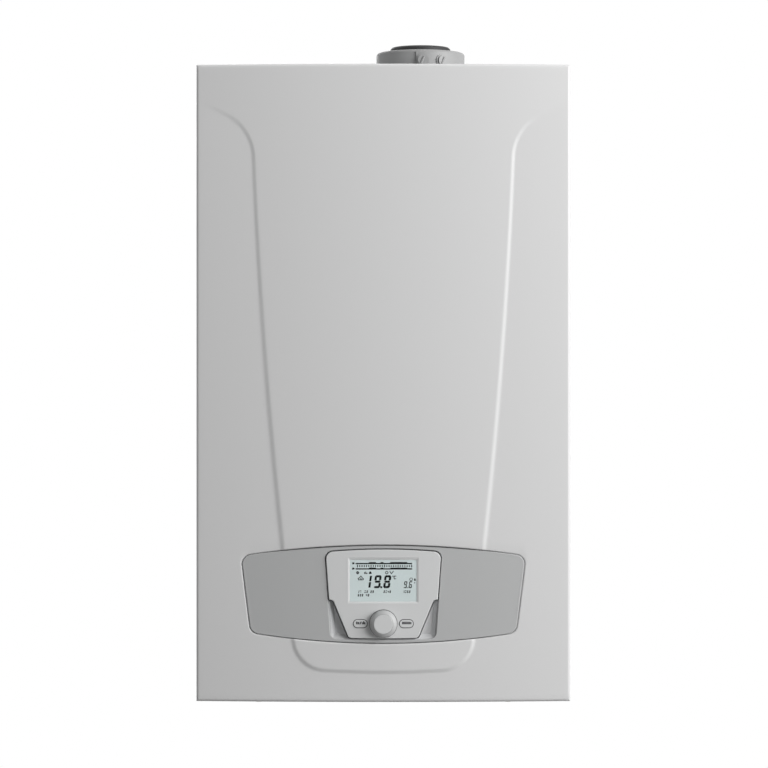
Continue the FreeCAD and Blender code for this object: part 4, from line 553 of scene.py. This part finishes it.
def figure(sign, x, z, width, height, thick):
    """One segmented figure, its lower left corner at x, z, leaning to the right."""
    half, tip = height / 2, thick / 2
    gap = thick * SEGMENT_GAP
    inset = gap * 2 if sign == "1" else tip + gap
    flat_tops = {"a": height, "g": half + tip, "d": thick}
    outlines = []
    for segment in SEGMENTS[sign]:
        if segment in flat_tops:
            top = z + flat_tops[segment]
            left, right = x + tip + gap, x + width - tip - gap
            outlines.append([(left, top - thick), (right, top - thick), (right + tip, top - tip),
                             (right, top), (left, top), (left - tip, top - tip)])
        else:
            rightward, upper = UPRIGHT_SEGMENTS[segment]
            left = x + (width - thick if rightward else 0)
            foot, head = (half, height) if upper else (0, half)
            outlines.append(bar(left, z + foot + inset, left + thick, z + head - inset))
    return [[(px + (pz - z) * SLANT, pz) for px, pz in outline] for outline in outlines]


def figures(signs, x, z, width, height, thick, pitch):
    """A row of figures; a blank leaves a space."""
    outlines = []
    for i, sign in enumerate(signs):
        if sign != " ":
            outlines += figure(sign, x + i * pitch, z, width, height, thick)
    return outlines


def time_bar():
    """Two rails with switched stretches, hour ticks between them and a mark before each."""
    left, right, thick = -33.2, 34.4, 1.6
    upper, lower = 165.7, 159.3
    upper_switch, lower_switch = 168.3, 161.6
    short_tick, long_tick = (162.3, 164.7), (161.9, 165.1)
    first_tick, hour, half_tick = -30.9, 2.7, 0.6
    ticks, long_every = 25, 6
    marks = [bar(left, level, right, level + thick) for level in (upper, lower)]
    for start, end in ((-17.2, -8.8), (-3.3, 0.2), (8.3, 28.6)):
        marks += [bar(start, upper + thick, end, upper_switch), bar(start, lower + thick, end, lower_switch)]
    for i in range(ticks):
        x = first_tick + i * hour
        low, high = short_tick if i % long_every else long_tick
        marks.append(bar(x - half_tick, low, x + half_tick, high))
    marks.append(bar(-37.3, upper, -34.7, 167.9))
    marks.append([(-37.4, 159.2), (-35.6, 159.2), (-35.6, 160.0), (-33.9, 159.2), (-34.6, 160.7),
                  (-36.4, 162.0), (-37.4, 161.0)])
    return marks


def state_signs():
    """A row of small signs below the time bar."""
    foot = 154.0
    return [
        *loop(-30.8, 155.5, 1.3, 0.9),
        bar(-31.4, 154.9, -30.2, 156.1),
        bar(-22.9, foot, -21.9, 156.4),
        bar(-21.5, foot, -20.6, 156.9),
        bar(-20.3, foot, -19.2, 155.6),
        house(-17.3, 154.1, 3.3),
        *loop(4.1, 155.6, 1.5, 0.8),
        *stroke([(7.9, 157.0), (9.7, 154.4), (11.9, 157.2)], 0.9),
    ]


def room_reading():
    """The large temperature, with a house in outline before it and its unit behind."""
    foot, height, thick = 137.0, 15.5, 2.6
    walls = [(-29.7, 147.0), (-24.2, 147.0), (-23.9, 148.4), (-25.1, 149.2), (-26.9, 151.5), (-28.8, 149.3),
             (-30.2, 148.6), (-29.7, 147.0)]
    door = [(-27.6, 147.3), (-26.9, 148.9), (-26.2, 147.3)]
    unit = [(15.0, 151.3), (13.6, 151.6), (12.9, 150.4), (12.9, 149.0), (13.6, 148.0), (15.0, 148.4)]
    marks = stroke(walls, 0.9) + stroke(door, 0.7)
    marks += figure("1", -23.5, 137.2, 7.9, 15.2, 2.5)
    marks += figure("9", -12.0, foot, 8.1, height, thick) + figure("8", -0.5, foot, 8.2, height, thick)
    marks.append(bar(-3.6, foot, -1.3, 139.3))
    return marks + loop(11.6, 151.3, 0.6, 0.5, 8) + stroke(unit, 0.85)


def outside_reading():
    """The small temperature on the right, with a ring, a dash and a drop above and beside it."""
    foot, size = 137.1, (3.8, 8.1, 1.15)
    marks = figure("9", 24.1, foot, *size) + figure("6", 30.1, foot, *size)
    marks += [bar(28.5, foot, 29.5, 138.1), *loop(33.3, 147.6, 1.7, 0.6), bar(36.7, 143.0, 38.2, 143.9)]
    marks.append([(36.8, 145.9), (38.7, 145.9), (38.9, 147.2), (37.8, 149.3), (36.7, 147.2)])
    return marks


def small_print():
    """Two rows of small figures at the foot."""
    upper, lower, size_and_pitch = 131.2, 127.0, (1.95, 3.1, 0.95, 2.4)
    marks = []
    for signs, x in (("17", -31.0), ("03 28", -23.0), ("2046", -0.1), ("1052", 23.2)):
        marks += figures(signs, x, upper, *size_and_pitch)
    return marks + figures("539 48", -31.0, lower, *size_and_pitch)


# Screen, knob and keys of the control unit

UNIT_FACE = in_mm(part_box("unit_front_shell"))[0][1]     # crowned like the casing
WINDOW_FRONT = in_mm(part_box("display_window"))[0][1]
COVER = (-41.4, 119.8, 41.4, 172.2)     # corners of the clear cover over the display
COVER_GAUGE, COVER_AIR = 0.15, 0.1      # the cover, and the room between it and the display's face
COVER_LIFT = 0.75                       # from the node's front up to the cover's
COVER_FRONT = WINDOW_FRONT - COVER_LIFT
INK_GAUGE = 0.05

# Lines round the screen's frame, as (half width, foot, top): outer edge, start and foot of the slope, and the
# tuck behind it
FRAME_OUTER, FRAME_EDGE = (44.1, 117.2, 174.8), (42.3, 118.8, 174.0)
FRAME_FOOT, FRAME_TUCK = (40.1, 121.0, 170.9), (41.9, 119.4, 172.6)
FRAME_PROUD, FRAME_CLEAR = 0.04, 0.05   # before the unit's face, and before the cover
FRAME_STEPS = 8                         # across each line, to follow the crown

KNOB_DEPTH, SHAFT_R = 8.5, 3.0
CAP_R, CAP_SEAT = 11.4, 1.0             # the cap, and how far back it is seated in the grip ring
CAP_PLAY, CAP_SUNK = 0.2, 0.05          # room round the cap, and how far it reaches into the ring
CAP_EDGE = ((0.7, 0), (0.5, 0), (0.2, 0.08), (0, 0.3))          # its rounded edge, as (inwards, back)
GRIP_DEPTH, GRIP_EDGE = 5.4, 0.3        # bulge of the grip ring, and the small bevels at its ends
GRIP_TURNS = [math.radians(a) for a in range(30, 86, 5)]        # stretch of an arc that the bulge follows
# The knob's dark ring is painted shade: a black sheet where the gap round the knob lies in shadow
SHADE_RING_EDGE = ((0.4, -0.2), (0.6, 0), (0.6, 0.3))         # as (beyond the knob, back from the unit's face)

KEYS = (("left_button", "left_key"), ("right_button", "right_key"))     # nodes and bodies
KEY_LENGTH, KEY_HEIGHT = 16, 9
# The dark rings round the keys are painted shade, black sheets in the gaps where they lie in shadow
KEY_SHADE_OUT, KEY_SHADE_IN = 0.9, 0.12       # reach of the painted shade rings' edges beyond the key
KEY_SHADE_FRONT, KEY_SHADE_REAR = -0.05, 0.3  # from the unit's face
MARK_SHIFT = (0.5, 0.9)                 # from a key's middle
MARK_FRONT, MARK_REAR = -0.06, 0.1      # from a key's face


def display_marks():
    """Time bar, temperatures, small signs and rows of small figures on the display."""
    marks = time_bar() + state_signs() + room_reading() + outside_reading() + small_print()
    face = COVER_FRONT + COVER_GAUGE + COVER_AIR
    points, faces = plates(marks, face - INK_GAUGE, face)
    piece("display_marks", points, faces, "control_unit", "display_face", INK)


def display_glass():
    """The clear cover, and close behind it the display's face."""
    behind = COVER_FRONT + COVER_GAUGE
    rear = in_mm(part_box("display_panel"))[1][1]
    points, faces = plates([bar(*COVER)], COVER_FRONT, behind)
    cover = piece("display_cover", points, faces, "control_unit", "clear_cover")
    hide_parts("display_window")
    # The display's face glows faintly in its finish: painted light
    points, faces = plates([bar(*COVER)], behind + COVER_AIR, rear)
    sheet = piece("display_sheet", points, faces, "control_unit", "display_face")
    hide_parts("display_panel")


def display_surround():
    """Frame pressed into the screen opening, flush with the unit's face, its sides sloping down to the clear
    cover."""
    flush, inner = UNIT_FACE - FRAME_PROUD, COVER_FRONT - FRAME_CLEAR
    lines = ((FRAME_OUTER, WINDOW_FRONT), (FRAME_OUTER, flush), (FRAME_EDGE, flush), (FRAME_FOOT, inner),
             (FRAME_TUCK, inner))
    rings = []
    for (half, low, high), level in lines:
        across = spaced(FRAME_STEPS, -half, half)
        front = [(x, level + (drop(x) if level == flush else 0)) for x in across]
        rings.append([(x, y, low) for x, y in front] + [(x, y, high) for x, y in reversed(front)])
    points, faces = hoops(rings)
    piece("display_surround", points, faces, "control_unit", "light_grey_plastic")


def knob():
    """The turning knob: a rounded grip ring on its shaft, a flat cap let into it, a painted shade ring
    behind.
    """
    low, high = in_mm(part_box("control_knob"))
    x, z = middle(low, high)
    front, depth, radius = low[1], high[1] - low[1], (high[0] - low[0]) / 2

    start, end = GRIP_TURNS[0], GRIP_TURNS[-1]
    out = (radius - CAP_R - GRIP_EDGE) / (math.sin(end) - math.sin(start))
    back = GRIP_DEPTH / (math.cos(start) - math.cos(end))
    profile = [(0, CAP_SEAT), (CAP_R + CAP_PLAY, CAP_SEAT)]
    for turn in GRIP_TURNS:
        profile.append((CAP_R + GRIP_EDGE + out * (math.sin(turn) - math.sin(start)),
                        GRIP_EDGE + back * (math.cos(start) - math.cos(turn))))
    profile += [(radius, KNOB_DEPTH - GRIP_EDGE), (radius - GRIP_EDGE, KNOB_DEPTH), (SHAFT_R, KNOB_DEPTH),
                (SHAFT_R, depth), (0, depth)]
    points, faces = turned([(r, front + d) for r, d in profile], x, z)
    ring = piece("knob_ring", points, faces, "knob", "silver_plastic", smooth=TURNED_ANGLE)
    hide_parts("control_knob")

    cap_rear = CAP_SEAT + CAP_SUNK
    profile = [(0, 0)] + [(CAP_R - inward, back) for inward, back in CAP_EDGE]
    profile += [(CAP_R, cap_rear), (0, cap_rear)]
    points, faces = turned([(r, front + d) for r, d in profile], x, z)
    piece("knob_cap", points, faces, "knob", "light_grey_plastic", smooth=TURNED_ANGLE)

    # Thin black ring round the knob, a little proud of the unit's face: painted shade for the shadowed gap
    profile = [(0, SHADE_RING_EDGE[0][1])] + [(radius + grow, back) for grow, back in SHADE_RING_EDGE]
    profile.append((0, SHADE_RING_EDGE[-1][1]))
    points, faces = turned([(r, UNIT_FACE + d) for r, d in profile], x, z)
    piece("knob_gap_shade", points, faces, "control_unit", "black_rubber", smooth=TURNED_ANGLE)


def pill(x, z, length, height, steps=12):
    """Outline of a bar with round ends, anticlockwise from the front."""
    radius, reach = height / 2, (length - height) / 2
    turn = [math.radians(a) for a in spaced(steps, -90, 90)]
    right = [(x + reach + radius * math.cos(a), z + radius * math.sin(a)) for a in turn]
    return right + [(x - reach - radius * math.cos(a), z - radius * math.sin(a)) for a in turn]


def key_gap_shades():
    """A dark ring in the gap round each key, let into the unit's face: painted shade for the gap's shadow."""
    lines = ((KEY_SHADE_OUT, KEY_SHADE_REAR), (KEY_SHADE_OUT, KEY_SHADE_FRONT), (KEY_SHADE_IN, KEY_SHADE_FRONT),
             (KEY_SHADE_IN, KEY_SHADE_REAR))
    for node, body in KEYS:
        mid_x, mid_z = middle(*in_mm(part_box(node)))
        rings = []
        for grow, back in lines:
            outline = pill(mid_x, mid_z, KEY_LENGTH + 2 * grow, KEY_HEIGHT + 2 * grow)
            rings.append([(x, UNIT_FACE + drop(x) + back, z) for x, z in outline])
        # black ring filling the gap round the key: painted shade
        points, faces = hoops(rings)
        piece(f"{body}_gap_shade", points, faces, "control_unit", "black_rubber")


def key_marks():
    """A plain mark on each key."""
    slanted = [(-1.5, -1.6), (0.1, -1.6), (1.4, 1.7), (-0.2, 1.7)]
    left = [bar(-5.6, -1.6, -3.8, 1.6), bar(-3.5, -1.6, -1.7, 1.2), slanted, house(1.5, -1.6, 4.0)]
    right = [bar(x, -1.5, x + 2.0, 1.5) for x in (-5.5, -3.1, -0.7, 1.7)] + [bar(4.1, -1.5, 5.5, 1.1)]
    for (node, body), shapes in zip(KEYS, (left, right)):
        low, high = in_mm(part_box(node))
        mid_x, mid_z = (m + shift for m, shift in zip(middle(low, high), MARK_SHIFT))
        outlines = [[(mid_x + x, mid_z + z) for x, z in shape] for shape in shapes]
        points, faces = plates(outlines, low[1] + MARK_FRONT, low[1] + MARK_REAR)
        piece(f"{body}_mark", points, faces, body, "light_grey_plastic", KEY_INK)


# Studio, in metres

MIDDLE = (0, -0.2, 0.4)         # near the boiler's middle
AMBIENT = 0.165                 # strength of the light from all round
FLOOR_LEVEL, FLOOR_REACH, FLOOR_STEPS = -0.36, 1.75, 96
FADE_START, FADE_END = 0.3, FLOOR_REACH * 0.97  # between these the floor fades into the surroundings
FADE_LEAST = 0.55               # share of their white at the floor's middle
FLOOR_DULL = 120                # tone by which the floor sends light back to the object
CAMERA_X, CAMERA_Z = 0.0008, 0.3817
CAMERA_AWAY = 3.6               # before the casing's crown
SENSOR, FOCAL_LENGTH = 36, 140.8        # in millimetres


def lamp(name, place, size, power, aim=MIDDLE, spread=180):
    """A square soft light at a place, aimed at a point, its beam narrowed to a spread in degrees."""
    light = bpy.data.lights.new(name, "AREA")
    light.shape = "SQUARE"
    light.size = size
    light.energy = power
    light.spread = math.radians(spread)
    made = bpy.data.objects.new(name, light)
    bpy.context.scene.collection.objects.link(made)
    made.location = place
    way = [a - p for a, p in zip(aim, place)]
    flat = math.hypot(way[0], way[1])
    made.rotation_euler = (math.atan2(flat, -way[2]), 0, math.atan2(-way[0], way[1]))


def direct_rays(nodes, links):
    """1 for rays that come from the camera, a mirror or glass, and 0 for those that only carry light."""
    ray = add(nodes, "ShaderNodeLightPath")
    value = ray.outputs["Is Camera Ray"]
    for kind in ("Is Glossy Ray", "Is Transmission Ray"):
        either = add(nodes, "ShaderNodeMath", "MAXIMUM")
        links.new(value, either.inputs[0])
        links.new(ray.outputs[kind], either.inputs[1])
        value = either.outputs["Value"]
    return value


def mix(nodes, links, share, first, second):
    """A blend of two shaders, by a share that goes from the first to the second."""
    blend = add(nodes, "ShaderNodeMixShader")
    links.new(share, blend.inputs["Fac"])
    links.new(first, blend.inputs[1])
    links.new(second, blend.inputs[2])
    return blend.outputs["Shader"]


def floor_paint():
    """Pale paint that fades into the white surroundings away from the floor's middle, sends little light
    back to the object, and is clear from below, so that it doesn't hide the underside."""
    paint = finish("floor_paint", tone(240), 0.7, mottle=(4, 0.01))
    nodes, links = paint.node_tree.nodes, paint.node_tree.links
    place = add(nodes, "ShaderNodeTexCoord")
    away = add(nodes, "ShaderNodeVectorMath", "LENGTH")
    links.new(place.outputs["Object"], away.inputs[0])
    fade = add(nodes, "ShaderNodeMapRange", From_Min=FADE_START, From_Max=FADE_END, To_Min=FADE_LEAST,
               To_Max=1.0)
    fade.interpolation_type = "SMOOTHSTEP"
    links.new(away.outputs["Value"], fade.inputs["Value"])
    direct = direct_rays(nodes, links)
    share = add(nodes, "ShaderNodeMath", "MULTIPLY")
    links.new(fade.outputs["Result"], share.inputs[0])
    links.new(direct, share.inputs[1])

    dull = add(nodes, "ShaderNodeBsdfDiffuse", Color=tone(FLOOR_DULL))
    glow = add(nodes, "ShaderNodeEmission")
    clear = add(nodes, "ShaderNodeBsdfTransparent")
    side = add(nodes, "ShaderNodeNewGeometry")
    seen = mix(nodes, links, direct, dull.outputs["BSDF"], nodes["Principled BSDF"].outputs["BSDF"])
    faded = mix(nodes, links, share.outputs["Value"], seen, glow.outputs["Emission"])
    above = mix(nodes, links, side.outputs["Backfacing"], faded, clear.outputs["BSDF"])
    links.new(above, nodes["Material Output"].inputs["Surface"])
    return paint


def floor():
    """A pale disc below the boiler that keeps its shadow."""
    turn = [2 * math.pi * i / FLOOR_STEPS for i in range(FLOOR_STEPS)]
    rim = [(FLOOR_REACH * math.cos(a), FLOOR_REACH * math.sin(a), 0) for a in turn]
    mesh = bpy.data.meshes.new("floor")
    mesh.from_pydata(rim, [], [list(range(FLOOR_STEPS))])
    mesh.materials.append(floor_paint())
    disc = bpy.data.objects.new("floor", mesh)
    disc.location.z = FLOOR_LEVEL
    bpy.context.scene.collection.objects.link(disc)


def studio():
    """White surroundings, a large soft key from the right and weak fills."""
    lamp("key", (4.15, -2.72, 2.1), size=4.0, power=149, aim=(0.7, -0.3, 1.5), spread=114)
    lamp("left", (-3.4, 0.5, 1.1), size=2.0, power=10)
    lamp("fill", (-2.6, -2.6, 0.8), size=2.0, power=2)
    lamp("top", (0.3, -0.6, 2.8), size=1.4, power=8)
    lamp("back", (-0.7, 2.4, 1.6), size=1.6, power=22)

    world = bpy.data.worlds.new("studio")
    bpy.context.scene.world = world
    world.use_nodes = True
    nodes, links = world.node_tree.nodes, world.node_tree.links
    white, ambient = nodes["Background"], add(nodes, "ShaderNodeBackground")
    for light, strength in ((white, 1.0), (ambient, AMBIENT)):
        light.inputs["Color"].default_value = (1, 1, 1, 1)
        light.inputs["Strength"].default_value = strength
    seen = mix(nodes, links, direct_rays(nodes, links), ambient.outputs["Background"],
               white.outputs["Background"])
    links.new(seen, nodes["World Output"].inputs["Surface"])


def camera():
    """Straight ahead before the front, a little below the middle of the casing."""
    lens = bpy.data.cameras.new("camera")
    lens.sensor_width = SENSOR
    lens.lens = FOCAL_LENGTH
    made = bpy.data.objects.new("camera", lens)
    bpy.context.scene.collection.objects.link(made)
    made.location = (CAMERA_X, CROWN * MM - CAMERA_AWAY, CAMERA_Z)
    made.rotation_euler = (math.radians(90), 0, 0)
    bpy.context.scene.camera = made
    bpy.context.scene.view_settings.view_transform = "Standard"


dress_frame()
front_casing()
strip_bead()
display_marks()
display_glass()
display_surround()
knob()
key_gap_shades()
key_marks()
studio()
floor()
camera()
